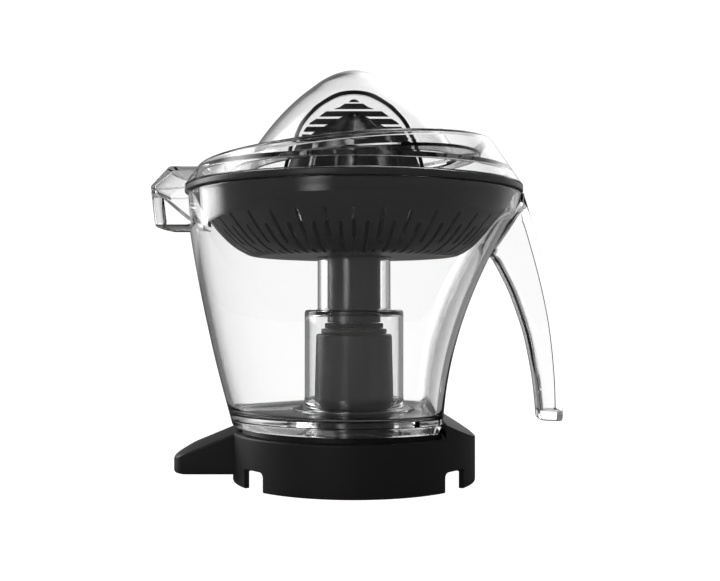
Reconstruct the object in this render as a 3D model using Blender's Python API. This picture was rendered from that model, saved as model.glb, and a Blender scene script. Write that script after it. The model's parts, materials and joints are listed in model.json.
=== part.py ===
"""Citrus press attachment: notched base with a planetary drive, clear jug, strainer basket,
ribbed cone with a lift-off arch press, and a clear dome lid.

Helpers take millimetres and make objects in metres. Z is up. Every size is measured from the
drive axis; the assembly empty stands on that axis.
"""
import math

import bmesh
import bpy
from mathutils import Vector

MM = 0.001
GAP = 0.3                 # clearance between neighbouring pieces
ROD_TURN = 0.17           # radians
DRIVE_AXIS_X = -1.35      # puts the frame's origin under the middle of the whole object

# Base
BASE_R = 54.4
BASE_WALL = 2.5
DRUM_TOP = 22.0
BOSS_R = 50.5
BOSS_TOP = 24.4
BOSS_FLAT_X = 36.5
ROOF_UNDER = 21.8
CAVITY_R, CAVITY_STEP_Z = 48.0, 16.8   # the cavity narrows under the shoulder
NOTCH_TOP = 8.5
NOTCH_FROM, NOTCH_TO = 44.0, 59.0      # degrees either side of front and back
SHOULDER_X = 38.4
SHOULDER_TOP = 28.2
SHOULDER_SLOPE = 0.54
TAIL_HALF = 13.5
TAIL_TIP_X = -81.0
TAIL_BOTTOM = 3.4
TAIL_TOP_AT_TIP = 9.8
TAIL_SLOPE = 0.414
TAIL_CROWN = 2.6

# Gearbox
MODULE = 1.5
SUN_TEETH, PLANET_TEETH, RING_TEETH = 12, 18, 48
PRESSURE_ANGLE = math.radians(25)
BACKLASH = 0.3
PLANETS = 3
ORBIT_R = MODULE * (SUN_TEETH + PLANET_TEETH) / 2
GEAR_LOW, GEAR_HIGH = 11.3, 17.0
COVER_LOW, COVER_HIGH = 8.6, 10.7
CARRIER_LOW, CARRIER_HIGH = 17.4, 19.2
POST_RING_R = 46.0
POST_R = 3.2
COVER_SCREW_ANGLES = (0, 90, 180, 270)
TOWER_SCREW_ANGLES = (60, 180, 300)
TOWER_SCREW_RING_R = 12.2

# Drive line
SPINDLE_R = 6.0
SPINDLE_TOP = 135.8
BUSH_R = 8.7
INPUT_SHAFT_R = 4.0
TOWER_FOOT_R, TOWER_HEAD_R = 18.0, 17.1
TOWER_BORE_R = 15.4
TOWER_TOP = 65.2
SLEEVE_R = 12.0
SLEEVE_LOW, SLEEVE_TOP = 70.3, 112.6

# Jug: outer wall radius by height, and the flat wall's distance by height
JUG_LOW = 24.7
JUG_RIM = 127.4
JUG_WALL = 2.0
JUG_OUTLINE = ((24.7, 54.6), (48, 60.8), (67, 65.2), (88, 69.5), (110.6, 73.3), (127.4, 74.8))
FLAT_X_LOW = 37.6
FLAT_X_GAIN = 32.4
FLAT_RISE = 92.3
FLAT_POWER = 2.12
FLAT_ENDS = 118.0
CORNER_SHARPNESS = 20
FLOOR_TOP, FLOOR_UNDER = 31.0, 28.8
TUBE_R, TUBE_BORE_R = 22.3, 20.3
NECK_R, NECK_BORE_R = 16.5, 14.6
NECK_LOW = 76.0
TUBE_TOP = 121.0

# Spout and its cover
SPOUT_HALF = 21.6
SPOUT_R_TOP, SPOUT_R_LOW = 90.1, 88.4
SPOUT_LOW, SPOUT_TOP = 112.4, 128.1
SPOUT_WALL = 2.0
COVER_BOX_LOW, COVER_BOX_TOP = 128.5, 137.9
COVER_TOP_R = 82.4

# Handle, drawn in the XZ plane from the rim down
HANDLE_HALF = 11.0
HANDLE_WALL = 2.2
HANDLE_OUTER = ((74.9, 127.4), (80.8, 107.6), (85.8, 88.7), (89.8, 68.5), (92.1, 46.6), (92.8, 27.2))
HANDLE_INNER = ((58.6, 105.0), (69.2, 86.4), (76.9, 65.2), (81.1, 44.0), (82.6, 30.5))

# Basket
RIM_R = 75.5
RIM_LOW, RIM_TOP = 127.7, 130.2
SLITS = 72
SLIT_WIDTH = 1.4
CHIMNEY_R = 17.3
CHIMNEY_WALL = 2.0
CHIMNEY_TOP = 119.0

# Lid
LID_LOW = 130.5
LID_WALL = 1.8
LID_CONE = 0.679          # skirt radius lost per unit of height
RIDGE_Z = 145.9           # ridge plane at the axis
RIDGE_TILT = 0.0916
MOAT_DROP = 5.5
MOAT_OUT_R, MOAT_IN_R = 55.5, 47.0
DOME = ((41.5, 152.5), (34.3, 161.5), (25.0, 171.3), (15.4, 178.5), (6.3, 182.7))
LID_TOP = 183.7

# Press cone and arch press
CONE_RIBS = 12
CONE_OUTLINE = ((40.0, 113.0), (36.8, 126.0), (32.4, 139.0), (29.2, 146.5), (22.4, 152.6),
                (16.7, 156.3), (10.4, 159.9), (3.6, 162.9))
CONE_TIP = 165.0
CONE_VALLEY = 0.90
PRESS_SLOT_FLOOR = 138.0
PRESS_SLOT_HALF = 2.0
ARCH_OUTLINE = ((31.9, 138.9), (29.4, 148.6), (24.4, 160.0), (15.4, 169.3), (0.0, 174.6))
ARCH_BAND = 2.0
ARCH_HALF = 1.6
LOUVRE_OUTLINE = ((28.6, 139.0), (26.4, 148.0), (22.6, 156.8), (17.0, 162.2), (12.4, 165.8))
LOUVRE_GAPS = ((162.3, 163.4), (159.0, 160.1), (155.8, 156.9))
LOUVRE_SPINE = 3.0


# ---------------------------------------------------------------- plain geometry

def smooth_path(points, steps):
    """Catmull-Rom curve through the points, with the given steps in each span."""
    pts = [Vector(p) for p in points]
    ends = [2 * pts[0] - pts[1]] + pts + [2 * pts[-1] - pts[-2]]
    path = []
    for a, b, c, d in zip(ends, ends[1:], ends[2:], ends[3:]):
        for k in range(steps):
            t = k / steps
            path.append(0.5 * (2 * b + (c - a) * t + (2 * a - 5 * b + 4 * c - d) * t ** 2
                               + (3 * b - a - 3 * c + d) * t ** 3))
    return [tuple(p) for p in path] + [tuple(pts[-1])]


def offset_path(points, distance):
    """The open path moved sideways to its left by the distance, with mitred corners."""
    moved = []
    for i, here in enumerate(points):
        before, after = points[max(i - 1, 0)], points[min(i + 1, len(points) - 1)]
        sides = []
        for start, end in ((before, here), (here, after)):
            along = Vector((end[0] - start[0], end[1] - start[1]))
            if along.length > 1e-6:
                sides.append(Vector((-along.y, along.x)).normalized())
        side = sum(sides, Vector((0, 0))).normalized()
        reach = distance / max(side.dot(sides[0]), 0.5)
        moved.append((here[0] + side.x * reach, here[1] + side.y * reach))
    return moved


def interpolate(table, x):
    """Height-radius table read at x with straight runs between its rows."""
    for (x0, y0), (x1, y1) in zip(table, table[1:]):
        if x <= x1:
            return y0 + (y1 - y0) * (x - x0) / (x1 - x0)
    return table[-1][1]


def circle(count, radius, start=0.0):
    return [(radius * math.cos(start + math.tau * i / count),
             radius * math.sin(start + math.tau * i / count)) for i in range(count)]


def polar(radius, degrees):
    return radius * math.cos(math.radians(degrees)), radius * math.sin(math.radians(degrees))


class Skin:
    """Collects rings of points and joins them into one closed surface."""

    def __init__(self):
        self.points, self.faces = [], []

    def ring(self, outline, z):
        """A closed ring; z is one height or a function of x and y."""
        first = len(self.points)
        self.points += [(x, y, z(x, y) if callable(z) else z) for x, y in outline]
        return list(range(first, len(self.points)))

    def bridge(self, a, b, skip=()):
        """Faces between two rings; rings of unequal count are joined with triangles."""
        if len(a) == len(b):
            n = len(a)
            self.faces += [(a[i], a[(i + 1) % n], b[(i + 1) % n], b[i])
                           for i in range(n) if i not in skip]
            return
        i = j = 0
        while i < len(a) or j < len(b):
            if j >= len(b) or (i < len(a) and (i + 1) / len(a) <= (j + 1) / len(b)):
                self.faces.append((a[i], a[(i + 1) % len(a)], b[j % len(b)]))
                i += 1
            else:
                self.faces.append((a[i % len(a)], b[(j + 1) % len(b)], b[j]))
                j += 1

    def chain(self, rings, closed=False):
        for a, b in zip(rings, rings[1:]):
            self.bridge(a, b)
        if closed:
            self.bridge(rings[-1], rings[0])

    def cap(self, ring):
        self.faces.append(tuple(ring))

    def apex(self, ring, z):
        """Closes a ring to one point on the axis."""
        tip = len(self.points)
        self.points.append((0, 0, z))
        n = len(ring)
        self.faces += [(ring[i], ring[(i + 1) % n], tip) for i in range(n)]


# ---------------------------------------------------------------- objects

ASSEMBLY = []
MATERIALS = {}


def clear_scene():
    for obj in list(bpy.data.objects):
        bpy.data.objects.remove(obj, do_unlink=True)


def make_materials():
    looks = {
        "black_plastic": ((0.012, 0.012, 0.013), 0.42, 0.0, 0.0),
        "dark_plastic": ((0.028, 0.028, 0.030), 0.30, 0.0, 0.0),
        "hub_plastic": ((0.050, 0.050, 0.053), 0.28, 0.0, 0.0),
        "clear_plastic": ((0.92, 0.93, 0.94), 0.04, 0.0, 1.0),
        "gear_plastic": ((0.78, 0.77, 0.72), 0.45, 0.0, 0.0),
        "steel": ((0.60, 0.60, 0.61), 0.28, 1.0, 0.0),
        "bronze": ((0.55, 0.36, 0.16), 0.38, 1.0, 0.0),
        "rubber": ((0.020, 0.020, 0.020), 0.65, 0.0, 0.0),
    }
    for name, (colour, roughness, metallic, transmission) in looks.items():
        made = bpy.data.materials.new(name)
        made.use_nodes = True
        shader = made.node_tree.nodes["Principled BSDF"]
        shader.inputs["Base Color"].default_value = (*colour, 1)
        shader.inputs["Roughness"].default_value = roughness
        shader.inputs["Metallic"].default_value = metallic
        shader.inputs["Transmission Weight"].default_value = transmission
        MATERIALS[name] = made


def make_object(name, skin, material=None, at=(0, 0)):
    """An object on the drive axis, or on a parallel axis at the given x and y."""
    mesh = bpy.data.meshes.new(name)
    mesh.from_pydata([tuple(c * MM for c in p) for p in skin.points], [], skin.faces)
    shell = bmesh.new()
    shell.from_mesh(mesh)
    bmesh.ops.recalc_face_normals(shell, faces=shell.faces)
    shell.to_mesh(mesh)
    shell.free()
    mesh.shade_smooth()
    mesh.set_sharp_from_angle(angle=math.radians(35))
    obj = bpy.data.objects.new(name, mesh)
    bpy.context.scene.collection.objects.link(obj)
    obj.parent = ASSEMBLY[0]
    obj.location = (at[0] * MM, at[1] * MM, 0)
    if material:
        mesh.materials.append(MATERIALS[material])
    return obj


def combine(obj, tool, operation):
    """Boolean of obj with a hidden tool object."""
    step = obj.modifiers.new(operation.lower() + "_" + tool.name, "BOOLEAN")
    step.operation = operation
    step.object = tool
    tool.hide_render = True
    tool.display_type = "WIRE"


def cut(obj, tool):
    combine(obj, tool, "DIFFERENCE")


def join(obj, tool):
    combine(obj, tool, "UNION")


def turned(name, profile, material=None, count=32, at=(0, 0), closed=True, start=0.0):
    """Body of revolution. A closed profile of (radius, z) is a ring; an open one is a solid."""
    skin = Skin()
    rings = [skin.ring(circle(count, radius, start), z) for radius, z in profile]
    skin.chain(rings, closed)
    if not closed:
        skin.cap(rings[0])
        skin.cap(rings[-1])
    return make_object(name, skin, material, at)


def sleeve(name, bore, radius, low, high, material=None, count=32, at=(0, 0)):
    return turned(name, ((radius, low), (radius, high), (bore, high), (bore, low)),
                  material, count, at)


def rod(name, radius, low, high, material=None, count=24, at=(0, 0)):
    """Solid cylinder, turned a little so that no corner lies on a line of its neighbour."""
    return turned(name, ((radius, low), (radius, high)), material, count, at, closed=False, start=ROD_TURN)


def loft(name, sections, material=None):
    """Solid through horizontal sections of equal point count, each (outline, z)."""
    skin = Skin()
    rings = [skin.ring(outline, z) for outline, z in sections]
    skin.chain(rings)
    skin.cap(rings[0])
    skin.cap(rings[-1])
    return make_object(name, skin, material)


def plate(name, outline, near, far, material=None):
    """Outline in the XZ plane, given thickness along Y."""
    skin = Skin()
    count = len(outline)
    skin.points = [(x, y, z) for y in (near, far) for x, z in outline]
    front, back = list(range(count)), list(range(count, 2 * count))
    skin.bridge(front, back)
    skin.cap(front)
    skin.cap(back)
    return make_object(name, skin, material)


def box(name, low, high):
    outline = ((low[0], low[1]), (high[0], low[1]), (high[0], high[1]), (low[0], high[1]))
    return loft(name, ((outline, low[2]), (outline, high[2])))


# ---------------------------------------------------------------- base

def clipped_disc(radius, flat_x, count=48):
    """Circle whose +X side is cut straight at flat_x."""
    return [(min(x, flat_x), y) for x, y in circle(count, radius)]


def tail_plan(inset=0.0):
    """Plan of the tail: straight sides and an elliptical nose."""
    half, nose = TAIL_HALF - inset, 6.5
    tip = TAIL_TIP_X + inset
    plan = [(-47.0, half)]
    for k in range(9):
        turn = math.pi * k / 8
        plan.append((tip + nose - nose * math.sin(turn), half * math.cos(turn)))
    return plan + [(-47.0, -half)]


def tail_solid(name, inset, low):
    """Tail with a sloping, slightly crowned top, drawn inset from the outer surface."""
    skin = Skin()
    plan = tail_plan(inset)

    def top(x, y):
        return TAIL_TOP_AT_TIP + TAIL_SLOPE * (x - TAIL_TIP_X) - inset

    rings = [skin.ring(plan, low), skin.ring(plan, top)]
    skin.chain(rings)
    skin.cap(rings[0])
    ridge = [len(skin.points), len(skin.points) + 1]
    near_tip = TAIL_TIP_X + 6.5
    skin.points += [(near_tip, 0, top(near_tip, 0) + TAIL_CROWN), (-47.0, 0, top(-47.0, 0) + TAIL_CROWN)]
    loop = rings[1]
    for a, b in zip(loop[1:-2], loop[2:-1]):
        skin.faces.append((a, b, ridge[0]))
    skin.faces += [(loop[0], loop[1], ridge[0], ridge[1]), (loop[-2], loop[-1], ridge[1], ridge[0]),
                   (loop[-1], loop[0], ridge[1])]
    return make_object(name, skin)


def notch_cutter(index, middle):
    """Wedge through the skirt, centred on the given angle."""
    half = (NOTCH_TO - NOTCH_FROM) / 2
    plan = [polar(r, middle + side) for r, side in
            ((BASE_R - 5, -half), (BASE_R + 3, -half), (BASE_R + 3, half), (BASE_R - 5, half))]
    return loft(f"notch_cutter_{index}", ((plan, -1), (plan, NOTCH_TOP)))


def make_base_housing():
    drum = turned("base_housing", ((BASE_R - 0.8, 0), (BASE_R, 0.8), (BASE_R, 30)),
                  "black_plastic", 48, closed=False)
    cut(drum, box("drum_top_cutter", (-60, -60, DRUM_TOP), (SHOULDER_X, 60, 40)))
    far_x = 60.0
    slope_outline = ((SHOULDER_X - 1, SHOULDER_TOP + SHOULDER_SLOPE),
                     (far_x, SHOULDER_TOP - SHOULDER_SLOPE * (far_x - SHOULDER_X)),
                     (far_x, 40), (SHOULDER_X - 1, 40))
    cut(drum, plate("shoulder_cutter", slope_outline, -60, 60))
    disc = clipped_disc(BOSS_R, BOSS_FLAT_X)
    join(drum, loft("boss_tool", ((disc, 20), (disc, BOSS_TOP))))
    tail = tail_solid("tail_tool", 0.0, TAIL_BOTTOM)
    cut(tail, box("tail_top_cutter", (-60, -20, BOSS_TOP - 0.2), (-40, 20, 40)))
    join(drum, tail)
    cavity = ((BASE_R - BASE_WALL, -1), (BASE_R - BASE_WALL, CAVITY_STEP_Z), (CAVITY_R, CAVITY_STEP_Z + 1),
              (CAVITY_R, ROOF_UNDER))
    cut(drum, turned("skirt_cutter", cavity, None, 48, closed=False))
    tail_cavity = tail_solid("tail_cutter", 2.4, -1)
    cut(tail_cavity, rod("tail_wall_keeper", BASE_R + 0.5, -2, 40, count=48))
    cut(drum, tail_cavity)
    cut(drum, box("tail_step_cutter", (-60, -20, -1), (-52.2, 20, TAIL_BOTTOM)))
    for index, angle in enumerate(COVER_SCREW_ANGLES):
        at = polar(POST_RING_R, angle)
        join(drum, rod(f"post_tool_{index}", POST_R, COVER_HIGH + GAP, ROOF_UNDER + 1, count=12, at=at))
        cut(drum, rod(f"post_hole_{index}", 1.7, COVER_HIGH, 17.6, count=8, at=at))
    middle = (NOTCH_FROM + NOTCH_TO) / 2
    for index, angle in enumerate((270 - middle, 270 + middle, 90 - middle, 90 + middle)):
        cut(drum, notch_cutter(index, angle))
    cut(drum, rod("spindle_hole_cutter", BUSH_R + GAP, 15, 30))
    for index, angle in enumerate(TOWER_SCREW_ANGLES):
        at = polar(TOWER_SCREW_RING_R, angle)
        cut(drum, rod(f"tower_hole_{index}", 1.7, 15, 30, count=8, at=at))


def make_screw(name, at, head_low, head_high, tip, material="steel"):
    """Pan-head screw pointing up, with a blunt recess in its head."""
    profile = ((1.0, head_low + 0.7), (1.2, head_low), (2.3, head_low), (2.8, head_low + 0.7),
               (2.8, head_high), (1.4, head_high), (1.4, tip - 1), (0.7, tip))
    turned(name, profile, material, 8, at, closed=False)


def make_base_cover():
    cover = turned("base_cover", ((50.9, COVER_LOW), (50.9, COVER_HIGH), (8.0, COVER_HIGH), (8.0, COVER_LOW)),
                   "black_plastic", 48)
    for index, angle in enumerate(COVER_SCREW_ANGLES):
        at = polar(POST_RING_R, angle)
        cut(cover, rod(f"cover_hole_{index}", 1.8, 5, 15, count=8, at=at))
        make_screw(f"base_screw_{index + 1}", at, 6.2, COVER_LOW - GAP, 16.6)


def make_tower():
    """Fixed tower with a closed head; three inner posts take its screws."""
    profile = ((TOWER_FOOT_R, BOSS_TOP + GAP), (TOWER_HEAD_R, TOWER_TOP - 0.6), (TOWER_HEAD_R - 0.6, TOWER_TOP),
               (BUSH_R + GAP, TOWER_TOP), (BUSH_R + GAP, TOWER_TOP - 7), (TOWER_BORE_R - 1.5, TOWER_TOP - 7),
               (TOWER_BORE_R, TOWER_TOP - 8), (TOWER_BORE_R, BOSS_TOP + GAP))
    tower = turned("drive_tower", profile, "hub_plastic", 24)
    for index, angle in enumerate(TOWER_SCREW_ANGLES):
        at = polar(TOWER_SCREW_RING_R, angle)
        join(tower, rod(f"tower_post_{index}", 3.6, BOSS_TOP + GAP, 38, count=12, at=at))
        cut(tower, rod(f"tower_post_hole_{index}", 1.7, 20, 35, count=8, at=at))
        make_screw(f"tower_screw_{index + 1}", at, CARRIER_HIGH + GAP, ROOF_UNDER - GAP, 34)


# ---------------------------------------------------------------- gears

def involute(angle):
    return math.tan(angle) - angle


def tooth_half_angle(teeth, radius, extra):
    """Half the angle that an involute tooth takes up at a radius."""
    pitch_r = MODULE * teeth / 2
    base_r = pitch_r * math.cos(PRESSURE_ANGLE)
    here = math.acos(min(base_r / radius, 1.0)) if radius > base_r else 0.0
    return math.pi / (2 * teeth) + involute(PRESSURE_ANGLE) - involute(here) + extra / pitch_r


def tooth_ring(teeth, root_r, tip_r, extra, phase):
    """Outline of a toothed wheel with straight flanks; phase is in tooth pitches."""
    outline = []
    for tooth in range(teeth):
        middle = math.tau * (tooth + phase) / teeth
        wide, narrow = (tooth_half_angle(teeth, r, extra) for r in (root_r, tip_r))
        for radius, turn in ((root_r, -wide), (tip_r, -narrow), (tip_r, narrow), (root_r, wide)):
            outline.append((radius * math.cos(middle + turn), radius * math.sin(middle + turn)))
    return outline


def toothed_wheel(name, teeth, bore, phase, material, at=(0, 0), turn=0.0, low=GEAR_LOW, high=GEAR_HIGH):
    pitch_r = MODULE * teeth / 2
    teeth_outline = tooth_ring(teeth, pitch_r - 1.2 * MODULE, pitch_r + 0.9 * MODULE, -BACKLASH / 2, phase)
    skin = Skin()
    rings = [skin.ring(teeth_outline, low), skin.ring(teeth_outline, high),
             skin.ring(circle(teeth, bore), high), skin.ring(circle(teeth, bore), low)]
    skin.chain(rings, closed=True)
    wheel = make_object(name, skin, material, at)
    wheel.rotation_euler.z = turn
    return wheel


def make_gears():
    ring_pitch = MODULE * RING_TEETH / 2
    spaces = tooth_ring(RING_TEETH, ring_pitch - 0.9 * MODULE, ring_pitch + 1.2 * MODULE, BACKLASH / 2, 0.5)
    skin = Skin()
    rings = [skin.ring(spaces, COVER_HIGH + GAP), skin.ring(spaces, GEAR_HIGH),
             skin.ring(circle(RING_TEETH, 41), GEAR_HIGH), skin.ring(circle(RING_TEETH, 41), COVER_HIGH + GAP)]
    skin.chain(rings, closed=True)
    make_object("ring_gear", skin, "gear_plastic")
    toothed_wheel("sun_gear", SUN_TEETH, INPUT_SHAFT_R + GAP, 0.0, "steel")
    carrier = turned("planet_carrier", ((30, CARRIER_LOW), (30, CARRIER_HIGH), (SPINDLE_R + GAP, CARRIER_HIGH),
                                        (SPINDLE_R + GAP, CARRIER_LOW)), "steel", 36)
    for index in range(PLANETS):
        degrees = 360 * index / PLANETS
        at = polar(ORBIT_R, degrees)
        cut(carrier, rod(f"pin_hole_{index}", 3.3, 15, 20, count=12, at=at))
        toothed_wheel(f"planet_gear_{index + 1}", PLANET_TEETH, 3.3, 0.5, "gear_plastic", at,
                      math.radians(degrees))
        rod(f"planet_pin_{index + 1}", 3.0, GEAR_LOW, CARRIER_HIGH, "steel", 12, at)


# ---------------------------------------------------------------- drive line

def make_drive_line():
    star = []
    for k in range(16):
        radius = 10.5 if k % 4 in (0, 1) else 8.0
        star.append(polar(radius, 22.5 * k))
    dog = Skin()
    rings = [dog.ring(star, 0.9), dog.ring(star, 7.6), dog.ring(circle(16, 4.3), 7.6), dog.ring(circle(16, 4.3), 0.9)]
    dog.chain(rings, closed=True)
    make_object("input_coupling", dog, "black_plastic")
    rod("input_shaft", INPUT_SHAFT_R, 2.5, GEAR_HIGH, "steel")
    sleeve("input_bush", INPUT_SHAFT_R + GAP, 8.0 - GAP, COVER_LOW, COVER_HIGH, "bronze", 16)
    sleeve("input_clip", INPUT_SHAFT_R + GAP, 6.2, 7.9, 8.3, "steel", 16)
    sleeve("lower_bush", SPINDLE_R + GAP, BUSH_R, 20.2, 27.0, "bronze", 16)
    sleeve("upper_bush", SPINDLE_R + GAP, BUSH_R, TOWER_TOP - 7, TOWER_TOP, "bronze", 16)
    sleeve("thrust_washer", SPINDLE_R + GAP, 14.8, TOWER_TOP + GAP, 67.5, "hub_plastic", 24)
    sleeve("shaft_seal", SPINDLE_R + GAP, 13.2, 67.8, 70.0, "rubber", 24)
    sleeve("drive_sleeve", SPINDLE_R + GAP, SLEEVE_R, SLEEVE_LOW, SLEEVE_TOP, "hub_plastic", 24)
    spindle = rod("output_spindle", SPINDLE_R, GEAR_HIGH + GAP, SPINDLE_TOP, "steel")
    hexagon = circle(6, SPINDLE_R)
    wide = circle(6, 12)
    flats = Skin()
    rings = [flats.ring(wide, SLEEVE_TOP + GAP), flats.ring(wide, 140), flats.ring(hexagon, 140),
             flats.ring(hexagon, SLEEVE_TOP + GAP)]
    flats.chain(rings, closed=True)
    cut(spindle, make_object("flats_cutter", flats))


# ---------------------------------------------------------------- jug

def flat_wall_x(z):
    """Distance of the jug's flat wall from the axis at a height."""
    return FLAT_X_LOW + FLAT_X_GAIN * (max(z - JUG_LOW, 0) / FLAT_RISE) ** FLAT_POWER


def jug_section(z, inset, count=40):
    """D-shaped section of the jug wall at a height, with rounded corners."""
    full = interpolate(JUG_OUTLINE, z) - inset
    flat = flat_wall_x(z) - inset
    outline = []
    for x, y in circle(count, 1.0):
        reach = full
        if x > 0.05 and z < FLAT_ENDS:
            reach = (full ** -CORNER_SHARPNESS + (flat / x) ** -CORNER_SHARPNESS) ** (-1 / CORNER_SHARPNESS)
        outline.append((reach * x, reach * y))
    return outline


def jug_vessel():
    """Wall, foot, floor and stepped centre tube as one closed surface."""
    skin = Skin()
    heights = [JUG_LOW, 42, 58, 74, 88, 100, 110, FLAT_ENDS + 0.5, JUG_RIM]
    rings = [skin.ring(jug_section(z, 0), z) for z in heights]
    inner_heights = [z for z in reversed(heights[1:])] + [FLOOR_TOP + 1.5]
    rings += [skin.ring(jug_section(z, JUG_WALL), z) for z in inner_heights]
    rings.append(skin.ring(jug_section(FLOOR_TOP, JUG_WALL + 1.5), FLOOR_TOP))
    tube = ((27, FLOOR_TOP), (23.4, FLOOR_TOP + 1.5), (TUBE_R, FLOOR_TOP + 5), (TUBE_R, NECK_LOW - 1),
            (TUBE_R - 1, NECK_LOW), (NECK_R, NECK_LOW), (NECK_R, TUBE_TOP), (NECK_BORE_R, TUBE_TOP),
            (NECK_BORE_R, NECK_LOW - 2), (TUBE_BORE_R, NECK_LOW - 2), (TUBE_BORE_R, JUG_LOW + GAP),
            (TUBE_R, JUG_LOW + GAP), (TUBE_R, FLOOR_UNDER))
    rings += [skin.ring(circle(24, radius), z) for radius, z in tube]
    rings.append(skin.ring(jug_section(FLOOR_UNDER, JUG_WALL), FLOOR_UNDER))
    rings.append(skin.ring(jug_section(JUG_LOW, JUG_WALL), JUG_LOW))
    skin.chain(rings, closed=True)
    return make_object("jug", skin, "clear_plastic")


def spout_plan(radius, half, inner_x=-60.0):
    """Plan of a box whose outer end is an arc about the drive axis."""
    reach = math.asin(half / radius)
    arc = [(-radius * math.cos(reach * k / 4), -radius * math.sin(reach * k / 4)) for k in range(-4, 5)]
    return [(inner_x, half)] + arc + [(inner_x, -half)]


def make_jug():
    jug = jug_vessel()
    spout = loft("spout_tool", ((spout_plan(SPOUT_R_LOW - 1.5, SPOUT_HALF - 1), SPOUT_LOW),
                                (spout_plan(SPOUT_R_LOW, SPOUT_HALF), SPOUT_LOW + 1.5),
                                (spout_plan(SPOUT_R_TOP, SPOUT_HALF), SPOUT_TOP)))
    mid_wall = [(interpolate(JUG_OUTLINE, z) - JUG_WALL / 2, z) for z in (105, 118, JUG_RIM)]
    mid_wall += [(RIM_R + 0.4, JUG_RIM), (RIM_R + 0.4, 135)]
    cut(spout, turned("spout_wall_keeper", mid_wall, None, 44, closed=False))
    join(jug, spout)
    floor_z = SPOUT_LOW + SPOUT_WALL
    trough = ((-60, floor_z), (-71, floor_z), (-85.4, SPOUT_TOP - 1.2), (-85.4, 135), (-60, 135))
    cut(jug, plate("trough_cutter", trough, -SPOUT_HALF + SPOUT_WALL, SPOUT_HALF - SPOUT_WALL))

    wall_line = [(flat_wall_x(z) - 1.4, z) for z in (104.5, 110, 116)] + [(72.9, 122), (73.4, JUG_RIM)]
    outer = smooth_path(HANDLE_OUTER, 2)
    inner = smooth_path(HANDLE_INNER, 2)
    foot = [(83.2, 28.4), (85.0, 27.2)]
    handle = plate("handle_tool", outer + foot[::-1] + inner[::-1] + wall_line, -HANDLE_HALF, HANDLE_HALF)
    web = offset_path(inner, HANDLE_WALL)
    low = HANDLE_OUTER[-1][1] + HANDLE_WALL
    pocket = [p for p in web if p[1] > low + 1]
    pocket = pocket + [(pocket[-1][0] + 0.4, low), (100, low), (100, 124), (72.4, 124), (66, 115)]
    cut(handle, plate("handle_pocket", pocket, -HANDLE_HALF + 1.8, HANDLE_HALF - 1.8))
    join(jug, handle)


# ---------------------------------------------------------------- basket

def make_basket():
    """Turned bowl with a chimney; long and short slits alternate round its curved flank."""
    skin = Skin()
    slit_step = math.tau / SLITS

    def slit_circle(radius):
        half = math.asin(SLIT_WIDTH / 2 / radius)
        turns = [slit_step * k + side for k in range(SLITS) for side in (-half, half)]
        return [(radius * math.cos(t), radius * math.sin(t)) for t in turns]

    outer = [skin.ring(slit_circle(r), z) for r, z in
             ((68.9, 121.4), (63.4, 113.6), (56.9, 106.2), (50.4, 101.7), (44.8, 99.8))]
    inner = [skin.ring(slit_circle(r), z) for r, z in
             ((67.0, 122.2), (61.6, 114.7), (55.4, 107.8), (49.5, 103.5), (44.4, 101.8))]
    for band in range(4):
        # Even slits run in the two upper bands and odd slits in the two below the first.
        gaps = set()
        if band in (0, 1):
            gaps |= {2 * k for k in range(0, SLITS, 2)}
        if band in (1, 2):
            gaps |= {2 * k for k in range(1, SLITS, 2)}
        skin.bridge(outer[band], outer[band + 1], gaps)
        skin.bridge(inner[band], inner[band + 1], gaps)
        for k in gaps:
            for edge in (k, k + 1):
                skin.faces.append((outer[band][edge], outer[band + 1][edge],
                                   inner[band + 1][edge], inner[band][edge]))
            starts = 0 if (k // 2) % 2 == 0 else 1
            if band == starts:
                skin.faces.append((outer[band][k], outer[band][k + 1], inner[band][k + 1], inner[band][k]))
            else:
                skin.faces.append((outer[band + 1][k], outer[band + 1][k + 1],
                                   inner[band + 1][k + 1], inner[band + 1][k]))
    rim = ((71.6, RIM_LOW), (RIM_R, RIM_LOW), (RIM_R, RIM_TOP), (RIM_R - 2.4, RIM_TOP), (69.8, 128.0))
    rim_rings = [skin.ring(circle(SLITS // 2, r), z) for r, z in rim]
    skin.chain([outer[0]] + rim_rings + [inner[0]])
    floor_z = 99.6
    chimney = ((CHIMNEY_R, floor_z), (CHIMNEY_R, CHIMNEY_TOP), (CHIMNEY_R + CHIMNEY_WALL, CHIMNEY_TOP),
               (CHIMNEY_R + CHIMNEY_WALL, floor_z + 2))
    hub_rings = [skin.ring(circle(24, r), z) for r, z in chimney]
    skin.chain([outer[4]] + hub_rings + [inner[4]])
    make_object("strainer_basket", skin, "dark_plastic")


# ---------------------------------------------------------------- cone and press

def make_cone():
    skin = Skin()
    count = 4 * CONE_RIBS
    pattern = (1.0, (1 + CONE_VALLEY) / 2, CONE_VALLEY, (1 + CONE_VALLEY) / 2)

    def ribbed(radius):
        return [(x * pattern[i % 4], y * pattern[i % 4]) for i, (x, y) in enumerate(circle(count, radius))]

    outer = [skin.ring(circle(count, CONE_OUTLINE[0][0]), CONE_OUTLINE[0][1])]
    outer += [skin.ring(ribbed(r), z) for r, z in CONE_OUTLINE[1:]]
    skin.chain(outer)
    skin.apex(outer[-1], CONE_TIP)
    cavity = [skin.ring(circle(24, r), z) for r, z in
              ((37.4, 113.0), (34.0, 123.0), (28.5, 131.0), (9.6, 132.0), (9.6, 113.4))]
    bore = [skin.ring(circle(6, SPINDLE_R + 0.4), z) for z in (113.4, SPINDLE_TOP + 0.6)]
    skin.chain([outer[0]] + cavity + bore)
    skin.cap(bore[-1])
    cone = make_object("press_cone", skin, "dark_plastic")
    cut(cone, box("press_slot_cutter", (-50, -PRESS_SLOT_HALF, PRESS_SLOT_FLOOR), (50, PRESS_SLOT_HALF, 170)))


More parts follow.
